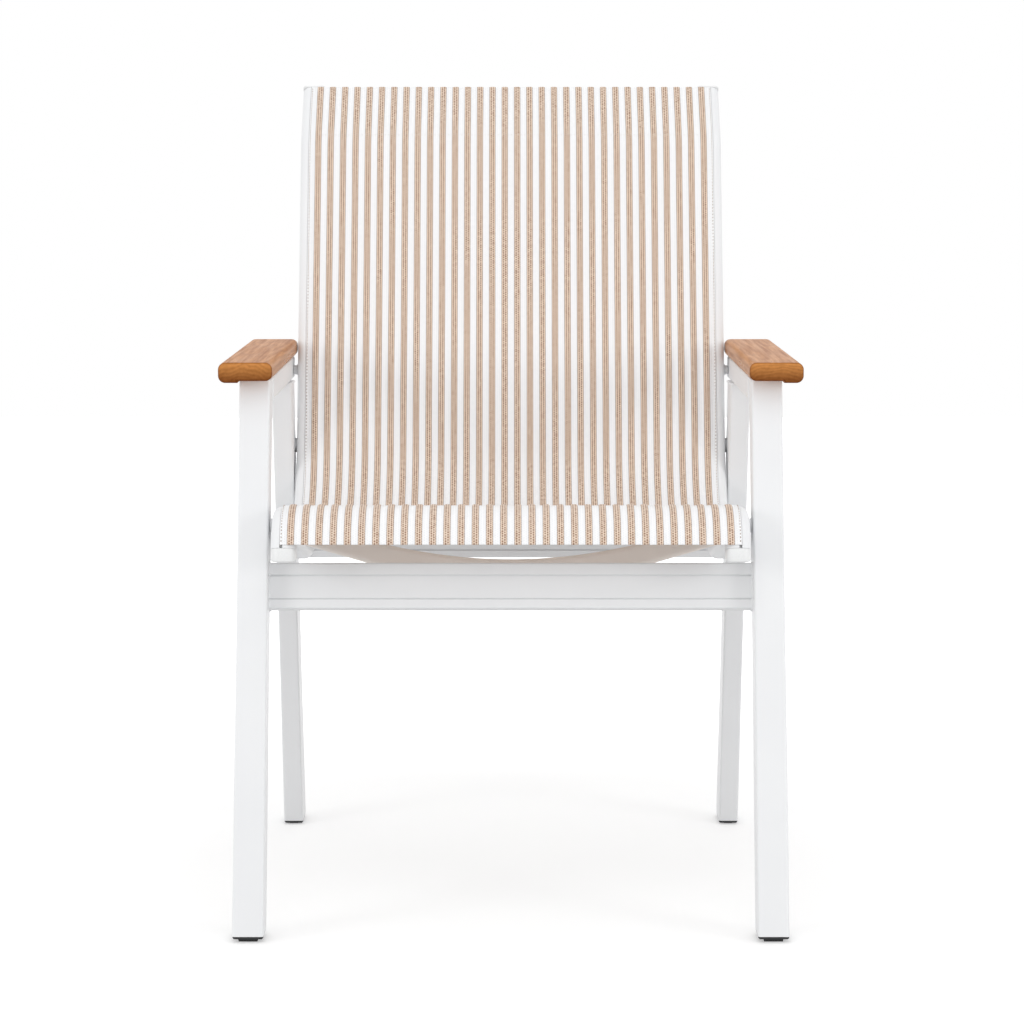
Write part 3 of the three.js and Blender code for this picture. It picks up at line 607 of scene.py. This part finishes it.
def add_sling():
    """The face is the middle surface moved out along its normal by half the thickness and the stripe's rise,
    the underside is moved in by half the thickness and the hem's second layer, and both thin out towards the
    front and top edges. A closed shell joins them. The UV map holds (across, along) in metres."""
    rows = cloth_rows()[:, None]
    u = across[None, :]
    x, out, nx, nz = cloth(rows, u)
    near_end = np.minimum(rows - front_edge, top_edge - rows)
    thinned = np.interp(near_end, edge_rounding, edge_share)
    half = cloth_thickness / 2 * thinned
    hems = (rows < front_edge + front_hem + hem_ramp / 2) | (rows > top_edge - top_hem - hem_ramp / 2)
    between = np.abs(u) < rail_inner - hem_side
    under = half + hem_fold * hems * between * thinned
    over = half + rib(u) * np.interp(near_end, edge_rounding, rib_share)
    top = along_rail(rows, x + nx * over, out + nz * over)
    bottom = along_rail(rows, x - nx * under, out - nz * under)
    count, wide = top.shape[:2]
    i, j = np.meshgrid(np.arange(count - 1) * wide, np.arange(wide - 1), indexing="ij")
    face = np.stack([i + j, i + j + 1, i + wide + j + 1, i + wide + j], -1).reshape(-1, 4)
    below = count * wide

    def wall(at, step):
        return np.stack([at, at + below, at + below + step, at + step], -1)

    row, column = np.arange(wide - 1), np.arange(count - 1) * wide
    front_wall, top_wall = wall(row, 1), wall(row + (count - 1) * wide, 1)[:, ::-1]
    side_walls = [wall(column, wide)[:, ::-1], wall(column + wide - 1, wide)]
    faces = np.concatenate([face, face[:, ::-1] + below, front_wall, top_wall, *side_walls])
    mesh = mesh_of("sling_cloth", np.concatenate([top, bottom]), faces.tolist(), cloth_edge_angle)
    order = np.empty(len(mesh.loops), np.int32)
    mesh.loops.foreach_get("vertex_index", order)
    flat = np.stack(np.broadcast_arrays(u, rows), -1).reshape(-1, 2)
    flat = np.concatenate([flat, flat])[order]
    uv = mesh.uv_layers.new(name="cloth")
    uv.data.foreach_set("uv", flat.astype(np.float32).ravel())
    return mesh


# Vinyl-coated yarn: a soft satin plastic. The tan stripes show three columns of beige yarn, 2.5 mm apart,
# crossed every 2.7 mm, with painted shade in brown in the gaps between them and along both sides of each
# raised stripe, and patches where the yarn is uneven. The white yarn shows only faint dots of painted shade.
# The real cells are about half as long, and are drawn at the size that the eye makes out.
tan_light = "#E9D5C2"
tan_gap_shade = "#896045"
tan_side_shade = "#84583A"
cloth_white = "#FCFCFD"
cloth_shade = "#F0F2F4"
yarn_pitch = 0.0025
weft_pitch = 0.0027
vinyl_roughness, vinyl_ior, vinyl_sheen = 0.55, 1.5, 0.1
colour_end, colour_full = 0.00375, 0.0035  # from a stripe's middle to where the tan ends, and is full
side_from, side_full, side_part = 0.0028, 0.0035, 0.7  # the painted shade along both sides of a stripe
column_part, cell_part, patch_part = 0.45, 0.55, 1.5  # of the yarn columns, the crossings and uneven yarn
patches_per_metre = 260
gap_level, yarn_level = -0.6, 0.4  # of their sum, at a gap in painted shade and on full yarn
yarn_height, yarn_strength = 0.0003, 0.5
sling_fabric, tree, shader = new_material(
    "vinyl_coated_polyester_weave", Roughness=vinyl_roughness, IOR=vinyl_ior, Sheen_Weight=vinyl_sheen
)
flat_place = add_node(tree, "UVMap", uv_map="cloth")
axes = add_node(tree, "SeparateXYZ", {0: flat_place})
u, v = axes.outputs["X"], axes.outputs["Y"]
pitches = add_node(tree, "Math", {0: u, 1: stripe_pitch}, operation="DIVIDE")
phase = add_node(tree, "Math", {0: pitches}, operation="FRACT")
off_centre = add_node(tree, "Math", {0: phase, 1: 0.5}, operation="SUBTRACT")
signed = add_node(tree, "Math", {0: off_centre, 1: stripe_pitch}, operation="MULTIPLY")
distance = add_node(tree, "Math", {0: signed}, operation="ABSOLUTE")
stripe = add_node(tree, "MapRange", {"Value": distance, "From Min": colour_end, "From Max": colour_full})
yarn_turn = add_node(tree, "Math", {0: signed, 1: 2 * math.pi / yarn_pitch}, operation="MULTIPLY")
yarn = add_node(tree, "Math", {0: yarn_turn}, operation="COSINE")
weft_turn = add_node(tree, "Math", {0: v, 1: 2 * math.pi / weft_pitch}, operation="MULTIPLY")
half_turn = add_node(tree, "Math", {0: yarn_turn, 1: 0.5}, operation="MULTIPLY")
weft = add_node(tree, "Math", {0: weft_turn}, operation="COSINE")
swap = add_node(tree, "Math", {0: half_turn}, operation="SINE")
cells = add_node(tree, "Math", {0: weft, 1: swap}, operation="MULTIPLY")
weave = add_node(tree, "Math", {0: cells, 1: cell_part}, operation="MULTIPLY")
weave = add_node(tree, "Math", {0: yarn, 1: column_part, 2: weave}, operation="MULTIPLY_ADD")
wander = add_node(tree, "TexNoise", {"Vector": flat_place, "Scale": patches_per_metre, "Detail": 3})
uneven = add_node(tree, "Math", {0: wander, 1: 0.5}, operation="SUBTRACT")
weave = add_node(tree, "Math", {0: uneven, 1: patch_part, 2: weave}, operation="MULTIPLY_ADD")
# Painted shade: the gaps between the yarns darken the colour, and uneven yarn adds patches of real tone.
light = add_node(tree, "MapRange", {"Value": weave, "From Min": gap_level, "From Max": yarn_level})
# Painted shade in brown along both sides of each raised stripe.
to_side = {"Value": distance, "From Min": side_from, "From Max": side_full}
edge = add_node(tree, "MapRange", to_side, interpolation_type="SMOOTHSTEP")
tan = add_node(tree, "MixRGB", {"Fac": light, "Color1": tan_gap_shade, "Color2": tan_light})
side_shaded = add_node(tree, "Math", {0: edge, 1: side_part}, operation="MULTIPLY")
tan = add_node(tree, "MixRGB", {"Fac": side_shaded, "Color1": tan, "Color2": tan_side_shade})
pale = add_node(tree, "MixRGB", {"Fac": light, "Color1": cloth_shade, "Color2": cloth_white})
striped = add_node(tree, "MixRGB", {"Fac": stripe, "Color1": pale, "Color2": tan})
relief = {"Height": light, "Strength": yarn_strength, "Distance": yarn_height}
set_inputs(shader, {"Base Color": striped, "Normal": add_node(tree, "Bump", relief)})

sling = add_piece("sling_cloth", add_sling(), sling_fabric, "sling_fabric", "sling")

# ---- Stitching ----
# Polyester thread: a brown row beside each groove that closes the loop round the hem rod, and a pale row
# across the top hem. Each stitch is a low rounded bar that dips into the cloth at both ends.
stitch_pitch = 0.0039
stitch_length = 0.0024
stitch_radius = 0.00035
stitch_inset = 0.0003  # from the middle of the groove
hem_row_inset = 0.003  # from the hem's turned edge
hem_row_half = 0.2255  # half the row's length
thread_brown, brown_shade = "#A58F7D", "#84705F"
thread_white, white_shade = "#E9E7E3", "#D6D3CD"
thread_roughness, thread_ior = 0.6, 1.5
strands_per_metre = 900
stitch_around, stitch_steps = 6, 4
stitch_end = 0.98  # where the bar's end faces stand, as a share of half its length


def stitches(name, along, across, run_along):
    """One bar a stitch: rings of radius r * (1 - t ** 4) ** 0.5 for t from -1 to 1 along the bar, with the
    middle of the bar lifted by r * (1 - t * t), placed on the cloth at the stitch's own place."""
    t = np.linspace(-stitch_end, stitch_end, stitch_steps + 1)
    angle = np.arange(stitch_around) * 2 * math.pi / stitch_around
    radius = stitch_radius * np.sqrt(1 - t**4)
    bar = np.broadcast_to((t * stitch_length / 2)[:, None], (len(t), stitch_around))
    side = radius[:, None] * np.cos(angle)
    lift = radius[:, None] * np.sin(angle) + stitch_radius * (1 - t[:, None] ** 2)
    step_along, step_across = (bar, side) if run_along else (side, bar)
    s = along[:, None, None] + step_along
    u = across[:, None, None] + step_across
    x, out, nx, nz = cloth(s, u)
    over = cloth_thickness / 2 + rib(u) + lift - stitch_radius / 2
    points = along_rail(s, x + nx * over, out + nz * over)
    *quads, first, last = ring_faces(stitch_steps + 1, stitch_around)
    starts = np.arange(len(along))[:, None, None] * (stitch_steps + 1) * stitch_around
    quads = (np.array(quads) + starts).reshape(-1, len(quads[0]))
    ends = (np.array([first, last]) + starts).reshape(-1, stitch_around)
    return mesh_of(name, points, quads.tolist() + ends.tolist(), round_angle)


def thread(name, colour, shade):
    """Twisted thread: dull, with a slightly darker tone where the strands turn away."""
    material, tree, shader = new_material(name, Roughness=thread_roughness, IOR=thread_ior)
    place = add_node(tree, "TexCoord").outputs["Object"]
    twist = add_node(tree, "TexNoise", {"Vector": place, "Scale": strands_per_metre, "Detail": 2})
    tint = add_node(tree, "MixRGB", {"Fac": twist, "Color1": colour, "Color2": shade})
    set_inputs(shader, {"Base Color": tint})
    return material


side_thread = thread("polyester_thread_brown", thread_brown, brown_shade)
hem_thread = thread("polyester_thread_white", thread_white, white_shade)

seam_run = np.arange(front_edge + stitch_pitch, top_edge - stitch_pitch / 2, stitch_pitch)
for side, turn in sides.items():
    name = f"side_stitching_{side}"
    line = np.full(len(seam_run), turn * (slot_x - stitch_inset))
    add_piece(name, stitches(name, seam_run, line, True), side_thread, "sling_fabric")
hem_line = np.arange(-hem_row_half, hem_row_half, stitch_pitch)
hem_run = np.full(len(hem_line), top_edge - top_hem + hem_row_inset)
name = "top_hem_stitching"
add_piece(name, stitches(name, hem_run, hem_line, False), hem_thread, "sling_fabric")

# ---- Hem rods ----
# Plain white rods in the sling's side loops. They are too thick for the slots of the grooves, and so they
# keep the sling in place. They hardly show.
finish_nodes([f"hem_rod_{side}" for side in sides], white_nylon)

# ---- Spreader bars ----
# Rounded bars of extruded aluminium, bowed away from the sitter and screwed between the rails, coated with
# them. The one under the seat has a cream tint of painted light, for the tan light that the sling throws on
# it.
# Painted light: a cream tint in the seat bar's coat, standing for the tan light that the sling throws on it.
sling_glow_tint = "#FEF5ED"
sling_glow_tint_cloud = "#FBF0E7"
spreader_height = 0.024
spreader_thickness = 0.012
spreader_corner = 0.005
spreader_depth = 0.022  # from the sling face to the bar's end
spreader_end = rail_inner - seam_gap
bow_steps = 24

# Each bar's place along the side line, the radius of its bow, and the slope at which its ends go straight on
bars = {
    "seat": (run_starts[seat_run] + 0.060, 0.575, math.radians(16.3)),
    "lumbar": (run_starts[back_run] + 0.048, 0.620, math.radians(10)),
    "head": (run_starts[head_bend_run] - 0.026, 1.400, math.radians(5)),
}


def bar_rings(along, radius, splay):
    """The section carried across the chair on a circle, rise = r - sqrt(r ** 2 - x ** 2), up to the splay
    angle and straight on from there. It stands a depth below the sling face, and rise counts from its
    ends."""
    bend = min(radius * math.sin(splay), spreader_end)
    half = np.concatenate([np.linspace(0, bend, bow_steps), [bend + (spreader_end - bend) / 2, spreader_end]])
    x = np.concatenate([-half[:0:-1], half])
    inner = np.minimum(np.abs(x), bend)
    rise = radius - np.sqrt(radius**2 - inner**2) + (np.abs(x) - inner) * math.tan(splay)
    slope = np.arcsin(inner / radius)
    section = rounded_loop(spreader_thickness, spreader_height, spreader_corner)
    out = (rise - rise[-1])[:, None] + section[:, 1] / np.cos(slope)[:, None] - spreader_depth
    y, z, heading = side_line(along)
    rear = section[:, 0]
    y = y - out * np.sin(heading) + rear * np.cos(heading)
    z = z + out * np.cos(heading) + rear * np.sin(heading)
    return points_at(x[:, None], y, z)


# The seat bar's coat, with the sling's tan light painted into its colour.
sling_glow_coat = baked_powder("powder_coat_white_painted_sling_glow", sling_glow_tint, sling_glow_tint_cloud)
coats = {"seat": sling_glow_coat, "lumbar": powder_coat, "head": powder_coat}
for bar, (along, radius, splay) in bars.items():
    name = f"{bar}_spreader_bar"
    add_piece(name, skin(name, bar_rings(along, radius, splay)), coats[bar], "powder_coat", f"{bar}_spreader")

# ---- Armrest pads ----
# Boards of solid teak, planed, with rounded long edges and eased ends, sanded and oiled. The outer long edge
# hangs down a little beside the arm tube.
pad_round = 0.0075
pad_ease = 0.0028
lip_gap = 0.0003
ease_steps = 6
rim_width = 0.0008  # of the painted shade round the end's rim
rim_lines = np.array([1.6, 0.5])  # the rim's fade, in rim widths from the eased edge
polished_width = 0.003  # along the long edges
pad_edge_angle = 40


def pad_loop(low, high, level, lip_x, inset):
    """The section, drawn in by an inset: a rounded board over the level of the arm tube, and outside the tube
    a lip down to the lowest level, each corner its centre + radius * (cos a, sin a) over a quarter turn."""
    radius = pad_round - inset
    reach = inset + radius
    a = np.linspace(0, quarter, corner_steps + 1)
    corners = [
        (high.x - reach, high.z - reach, 0),
        (low.x + reach, high.z - reach, 1),
        (low.x + reach, level + reach, 2),
        (high.x - reach, low.z + reach, 3),
    ]
    arcs = [
        np.stack([x + radius * np.cos(a + k * quarter), z + radius * np.sin(a + k * quarter)], -1)
        for x, z, k in corners
    ]
    lip = [[lip_x + inset, level + inset], [lip_x + inset, low.z + inset]]
    return np.concatenate([*arcs[:3], lip, arcs[3]])


def pad_rings():
    """The section carried along y, drawn in by e * (1 - cos a) over the last e at both ends, and across both
    end faces to the rim's inner line. Also each ring's tone: 1 on the end faces, 2 on their rims and 0 on the
    board."""
    low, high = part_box("armrest_pad_left")
    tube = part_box("arm_tube_left")[1]
    a = np.linspace(0, quarter, ease_steps + 1)
    from_end = np.concatenate([[0, 0], pad_ease * (1 - np.cos(a)), [pad_ease + 2 * rim_width]])
    rim = pad_ease + rim_width * rim_lines
    drawn_in = np.concatenate([rim, pad_ease * (1 - np.sin(a)), [0]])
    tone = np.concatenate([[1, 1], 1 + np.sin(a) ** 2, [0]])
    y = np.concatenate([low.y + from_end, high.y - from_end[::-1]])
    drawn_in = np.concatenate([drawn_in, drawn_in[::-1]])
    level, lip_x = tube.z + lip_gap, tube.x + lip_gap
    rings = []
    for place_y, inset in zip(y, drawn_in):
        x, z = pad_loop(low, high, level, lip_x, inset).T
        rings.append(points_at(x, place_y, z))
    return np.array(rings), np.concatenate([tone, tone[::-1]])


# Oiled teak: golden brown with faint growth rings about 4 mm apart, seen as lines on the faces and flat arcs
# on the ends, and fine dark pores under 1 mm wide and about 20 mm long. The oil leaves a low satin, glossier
# on the long edges, which the planer polished. The cut ends drank more of it: they are matt and redder.
# Painted shade darkens them low down and round their eased rims.
teak_light = "#CB8D53"
teak_dark = "#A0622C"
teak_pore = "#74431A"
teak_end = "#C88648"
# Painted shade: the ends' colour low down, and round their eased rims.
teak_end_low_shade = "#6C370E"
teak_rim_shade = "#6E370E"
end_z_low, end_z_high = 0.566, 0.582
ring_width = 0.0042
pith_x, pith_z = 0.290, 0.400
waves_per_metre, wave_stretch, wave_height = 28, 0.12, 0.03  # of the rings along the board
pores_per_metre, streaks_per_metre, fibre_stretch = 1300, 240, 0.035
ring_part = 0.16  # of the rings beside the streaks
streak_pale, streak_dark = 0.3, 0.85
pore_from, pore_full, pore_part = 0.56, 0.7, 0.35
pore_height, pore_strength = 0.00012, 0.3
end_part, rim_part = 0.85, 0.6  # of the ends' colour, with its painted shade low down, and of the rims' painted shade
arc_part = 0.5  # of the rings on the ends
arc_low, arc_high, arc_pale, arc_dark = 0.35, 1.15, 1.16, 0.84
rim_from, rim_full = 1.1, 1.9
streak_low, streak_high = 0.3, 0.7  # between which most streaks lie
sanded_low, sanded_high, polish_gain = 0.5, 0.62, 0.25  # of the roughness
gloss, end_gloss = 0.5, 0.08
teak_ior = 1.5
teak, tree, shader = new_material("teak_oiled", IOR=teak_ior)
place = add_node(tree, "TexCoord").outputs["Object"]
stretched = add_node(tree, "Mapping", {"Vector": place, "Scale": (1, wave_stretch, 1)})
warp = add_node(tree, "TexNoise", {"Vector": stretched, "Scale": waves_per_metre, "Detail": 2})
axes = add_node(tree, "SeparateXYZ", {0: place})
side_x = add_node(tree, "Math", {0: axes.outputs["X"]}, operation="ABSOLUTE")
from_x = add_node(tree, "Math", {0: side_x, 1: pith_x}, operation="SUBTRACT")
from_z = add_node(tree, "Math", {0: axes.outputs["Z"], 1: pith_z}, operation="SUBTRACT")
spoke = add_node(tree, "CombineXYZ", {"X": from_x, "Y": from_z})
radius = add_node(tree, "VectorMath", {0: spoke}, operation="LENGTH").outputs["Value"]
warped = add_node(tree, "Math", {0: warp, 1: wave_height, 2: radius}, operation="MULTIPLY_ADD")
rings = add_node(tree, "Math", {0: warped, 1: 2 * math.pi / ring_width}, operation="MULTIPLY")
ring = add_node(tree, "Math", {0: rings}, operation="SINE")
growth = add_node(tree, "MapRange", {"Value": ring, "From Min": -1.0, "From Max": 1.0})
long_place = add_node(tree, "Mapping", {"Vector": place, "Scale": (1, fibre_stretch, 1)})
fibre = add_node(tree, "TexNoise", {"Vector": long_place, "Scale": pores_per_metre, "Detail": 3})
streak = add_node(tree, "TexNoise", {"Vector": long_place, "Scale": streaks_per_metre, "Detail": 3})
grain = add_node(tree, "Math", {0: growth, 1: ring_part, 2: streak}, operation="MULTIPLY_ADD")
tone = add_node(tree, "MapRange", {"Value": grain, "From Min": streak_pale, "From Max": streak_dark})
wood = add_node(tree, "MixRGB", {"Fac": tone, "Color1": teak_light, "Color2": teak_dark})
pores = {"From Min": pore_from, "From Max": pore_full, "To Max": pore_part}
pore = add_node(tree, "MapRange", {"Value": fibre, **pores})
wood = add_node(tree, "MixRGB", {"Fac": pore, "Color1": wood, "Color2": teak_pore})
end_tone = add_node(tree, "Attribute", attribute_name="end_tone").outputs["Fac"]
on_end = add_node(tree, "MapRange", {"Value": end_tone, "To Max": end_part})
# Painted shade: the ends' colour darkens towards their bottom.
up_end = {"Value": axes.outputs["Z"], "From Min": end_z_low, "From Max": end_z_high}
height = add_node(tree, "MapRange", up_end)
end_wood = add_node(tree, "MixRGB", {"Fac": height, "Color1": teak_end_low_shade, "Color2": teak_end})
arcs = add_node(tree, "Math", {0: growth, 1: arc_part, 2: streak}, operation="MULTIPLY_ADD")
lines = {"From Min": arc_low, "From Max": arc_high, "To Min": arc_pale, "To Max": arc_dark}
arc_light = add_node(tree, "MapRange", {"Value": arcs, **lines})
end_wood = add_node(tree, "HueSaturation", {"Color": end_wood, "Value": arc_light})
wood = add_node(tree, "MixRGB", {"Fac": on_end, "Color1": wood, "Color2": end_wood})
# Painted shade round the ends' eased rims.
rim_shading = {"From Min": rim_from, "From Max": rim_full, "To Max": rim_part}
on_rim = add_node(tree, "MapRange", {"Value": end_tone, **rim_shading})
wood = add_node(tree, "MixRGB", {"Fac": on_rim, "Color1": wood, "Color2": teak_rim_shade})
rough = {"From Min": streak_low, "From Max": streak_high, "To Min": sanded_low, "To Max": sanded_high}
sanded = add_node(tree, "MapRange", {"Value": streak, **rough})
polish = add_node(tree, "Attribute", attribute_name="polish").outputs["Fac"]
satin = add_node(tree, "Math", {0: polish, 1: -polish_gain, 2: sanded}, operation="MULTIPLY_ADD")
matt = add_node(tree, "MapRange", {"Value": end_tone, "To Min": gloss, "To Max": end_gloss})
relief = {"Height": fibre, "Strength": pore_strength, "Distance": pore_height}
set_inputs(shader, {"Base Color": wood, "Roughness": satin, "Specular IOR Level": matt})
set_inputs(shader, {"Normal": add_node(tree, "Bump", relief)})

board, board_tones = pad_rings()
long_edge = np.minimum(board[..., 0] - board[..., 0].min(), board[..., 0].max() - board[..., 0])
painted = {
    "end_tone": np.repeat(board_tones, board.shape[1]),
    "polish": np.interp(long_edge.ravel(), [0, polished_width], [1, 0]),
}
add_pair("armrest_board", board, teak, "teak", "armrest_pad", pad_edge_angle)
for side in sides:
    mesh = bpy.data.objects[f"armrest_board_{side}"].data
    for name, values in painted.items():
        mesh.attributes.new(name, "FLOAT", "POINT").data.foreach_set("value", values.astype(np.float32))

# ---- Fasteners ----
# Coated sleeves stand between the rails and the frame, held by button-headed bolts. Countersunk screws hold
# the spreader bars and pan-headed screws the pads. Stainless steel, turned and tumbled, with hex sockets.
steel, steel_shade = "#C9CACC", "#A9ABAE"
steel_roughness = 0.3
scratches_per_metre = 1200
round_sides = 48
sleeve_step = 0.3  # share of the sleeve's length, from the rail to its step
sleeve_shoulder, sleeve_ease = 0.0009, 0.0003
bolt_shank, spreader_shank, pad_shank = 0.003, 0.0025, 0.002
point_radius, point_length = 0.0003, 0.002

# Heads from the middle of the socket outwards: radius, distance behind the face, share of hexagon
button_head = [
    (0.0018, 0.0018, 1),
    (0.0022, 0.0018, 1),
    (0.0022, 0.0001, 1),
    (0.00341, 0, 0),
    (0.0044, 0.0004, 0),
    (0.005115, 0.0011, 0),
    (0.0055, 0.0020, 0),
    (0.0055, 0.0027, 0),
    (bolt_shank, 0.0027, 0),
]
countersunk_head = [
    (0.0014, 0.0012, 1),
    (0.0016, 0.0012, 1),
    (0.0016, -0.0004, 1),
    (0.0032, -0.0005, 0),
    (0.0045, -0.0003, 0),
    (0.0050, 0, 0),
    (spreader_shank, 0.0022, 0),
]
pan_head = [
    (0.0014, 0.0016, 1),
    (0.0016, 0.0016, 1),
    (0.0016, 0.0001, 1),
    (0.0025, 0, 0),
    (0.0036, 0.0004, 0),
    (0.0042, 0.0013, 0),
    (0.0042, 0.0024, 0),
    (pad_shank, 0.0024, 0),
]

stainless, tree, shader = new_material("stainless_steel_turned", Metallic=1, Roughness=steel_roughness)
place = add_node(tree, "TexCoord").outputs["Object"]
scratch = add_node(tree, "TexNoise", {"Vector": place, "Scale": scratches_per_metre, "Detail": 3})
tint = add_node(tree, "MixRGB", {"Fac": scratch, "Color1": steel, "Color2": steel_shade})
set_inputs(shader, {"Base Color": tint})


def turned_rings(profile):
    """Rings about an axis from rows of (radius, distance, share of hexagon): r is the radius, drawn towards
    the hexagon r * cos(30) / cos((a mod 60) - 30) by the share. The axis is the third coordinate."""
    radius, distance, hexagon = np.array(profile, float).T[..., None]
    angle = np.arange(round_sides) * 2 * math.pi / round_sides
    side = math.pi / 3
    corner = math.cos(side / 2) / np.cos(np.mod(angle, side) - side / 2)
    r = radius * (1 + hexagon * (corner - 1))
    return points_at(r * np.cos(angle), r * np.sin(angle), distance)


def laid_across(profile, start_x, centre, outwards=1):
    """A turned piece laid along x from start_x, at the height and depth of centre."""
    y, z, along = np.moveaxis(turned_rings(profile), -1, 0)
    return points_at(start_x + outwards * along, y + centre.y, z + centre.z)


for bolt in ("front", "rear", "arm"):
    low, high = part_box(f"{bolt}_spacer_left")
    centre = (low + high) / 2
    wide, length = (high.z - low.z) / 2, high.x - low.x
    narrow = wide - sleeve_shoulder
    step = (length + 2 * seam_gap) * sleeve_step - seam_gap
    first, second = (narrow, wide) if bolt == "rear" else (wide, narrow)
    sleeve = [
        (first - sleeve_ease, 0, 0),
        (first, sleeve_ease, 0),
        (first, step, 0),
        (second, step, 0),
        (second, length - sleeve_ease, 0),
        (second - sleeve_ease, length, 0),
    ]
    rings = laid_across(sleeve, low.x, centre)
    add_pair(f"{bolt}_sleeve", rings, powder_coat, "powder_coat", f"{bolt}_spacer")
    low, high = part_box(f"{bolt}_bolt_left")
    rings = laid_across([*button_head, (bolt_shank, high.x - low.x, 0)], low.x, centre)
    add_pair(f"{bolt}_button_bolt", rings, stainless, "stainless_steel", f"{bolt}_bolt")
for bar in bars:
    low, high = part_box(f"{bar}_spreader_screw_left")
    screw = [*countersunk_head, (spreader_shank, high.x - low.x, 0)]
    rings = laid_across(screw, high.x, (low + high) / 2, outwards=-1)
    add_pair(f"{bar}_countersunk_screw", rings, stainless, "stainless_steel", f"{bar}_spreader_screw")
for end in ("front", "rear"):
    low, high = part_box(f"pad_screw_{end}_left")
    length = high.z - low.z
    screw = [*pan_head, (pad_shank, length - point_length, 0), (point_radius, length, 0)]
    rings = turned_rings(screw) + [(low.x + high.x) / 2, (low.y + high.y) / 2, low.z]
    add_pair(f"{end}_pad_screw", rings, stainless, "stainless_steel", f"pad_screw_{end}")
finish_nodes([f"{bolt}_nut_{side}" for bolt in ("front", "rear", "arm") for side in sides], stainless)

# ---- Floor, lamps and camera ----
# A plain pale floor that shows white to the camera apart from the chair's shadow, soft studio lamps round the
# chair, and the camera at the photograph's distance, height and pitch.
floor_size = 12.0
floor_grey = "#D8D8D8"
studio_white = "#FFFFFF"
near_glow, far_glow = 0.36, 1.0  # the paper is white to the camera, apart from the shade near the chair
glow_from, glow_to = 0.5, 1.5
paper_roughness, paper_gloss = 0.9, 0.1
mesh = bpy.data.meshes.new("studio_floor")
reach = floor_size / 2
corners = [(-reach, -reach, 0), (reach, -reach, 0), (reach, reach, 0), (-reach, reach, 0)]
mesh.from_pydata(corners, [], [(0, 1, 2, 3)])
floor = bpy.data.objects.new("studio_floor", mesh)
bpy.context.scene.collection.objects.link(floor)
paper, tree, shader = new_material(
    "studio_paper", Roughness=paper_roughness, Specular_IOR_Level=paper_gloss
)


def seen(tree):
    """1 where the eye, a reflection or a clear piece looks, and 0 where light only bounces."""
    rays = add_node(tree, "LightPath").outputs
    eye = add_node(tree, "Math", {0: rays["Is Camera Ray"], 1: rays["Is Glossy Ray"]}, operation="ADD")
    through = {0: eye, 1: rays["Is Transmission Ray"]}
    return add_node(tree, "Math", through, operation="ADD", use_clamp=True)


place = add_node(tree, "TexCoord").outputs["Object"]
away = add_node(tree, "VectorMath", {0: place}, operation="LENGTH").outputs["Value"]
shade = {"From Min": glow_from, "From Max": glow_to, "To Min": near_glow, "To Max": far_glow}
level = add_node(tree, "MapRange", {"Value": away, **shade}, interpolation_type="SMOOTHSTEP")
glow = add_node(tree, "Math", {0: seen(tree), 1: level}, operation="MULTIPLY")
set_inputs(shader, {"Base Color": floor_grey, "Emission Color": studio_white, "Emission Strength": glow})
mesh.materials.append(paper)

ambient = 0.85
world = bpy.data.worlds.new("studio")
bpy.context.scene.world = world
world.use_nodes = True
tree = world.node_tree
strength = add_node(tree, "MapRange", {"Value": seen(tree), "To Min": ambient})
set_inputs(tree.nodes["Background"], {"Color": studio_white, "Strength": strength})

lamps = {
    "right": ((-2.9, -2.1, 1.2), 1.2, 20.0),
    "left": ((2.9, -2.1, 1.2), 1.2, 20.0),
    "high": ((0.0, -1.3, 2.4), 1.2, 5.0),
    "back": ((0.2, 2.8, 1.8), 2.0, 8.0),
}
aim = np.array([0.0, 0.0, 0.45])
for name, (spot, size, power) in lamps.items():
    lamp = bpy.data.lights.new(f"{name}_softbox", "AREA")
    lamp.shape, lamp.size, lamp.energy = "SQUARE", size, power
    softbox = bpy.data.objects.new(f"{name}_softbox", lamp)
    softbox.location = spot
    towards = aim - spot
    softbox.rotation_euler = (
        math.atan2(math.hypot(towards[0], towards[1]), -towards[2]),
        0,
        math.atan2(towards[1], towards[0]) - math.pi / 2,
    )
    bpy.context.scene.collection.objects.link(softbox)

camera_distance = 3.193  # from the front foot's toe
camera_side, camera_height = 0.0012, 0.8093
camera_pitch = math.radians(6.543)
camera_lens = 112.5
camera_reach = 50
camera = bpy.data.objects.new("camera", bpy.data.cameras.new("camera"))
camera.data.lens = camera_lens
camera.data.clip_end = camera_reach
camera.location = (camera_side, toe_y - camera_distance, camera_height)
camera.rotation_euler = (quarter - camera_pitch, 0, 0)
bpy.context.scene.collection.objects.link(camera)
bpy.context.scene.camera = camera
bpy.context.scene.view_settings.view_transform = "Standard"
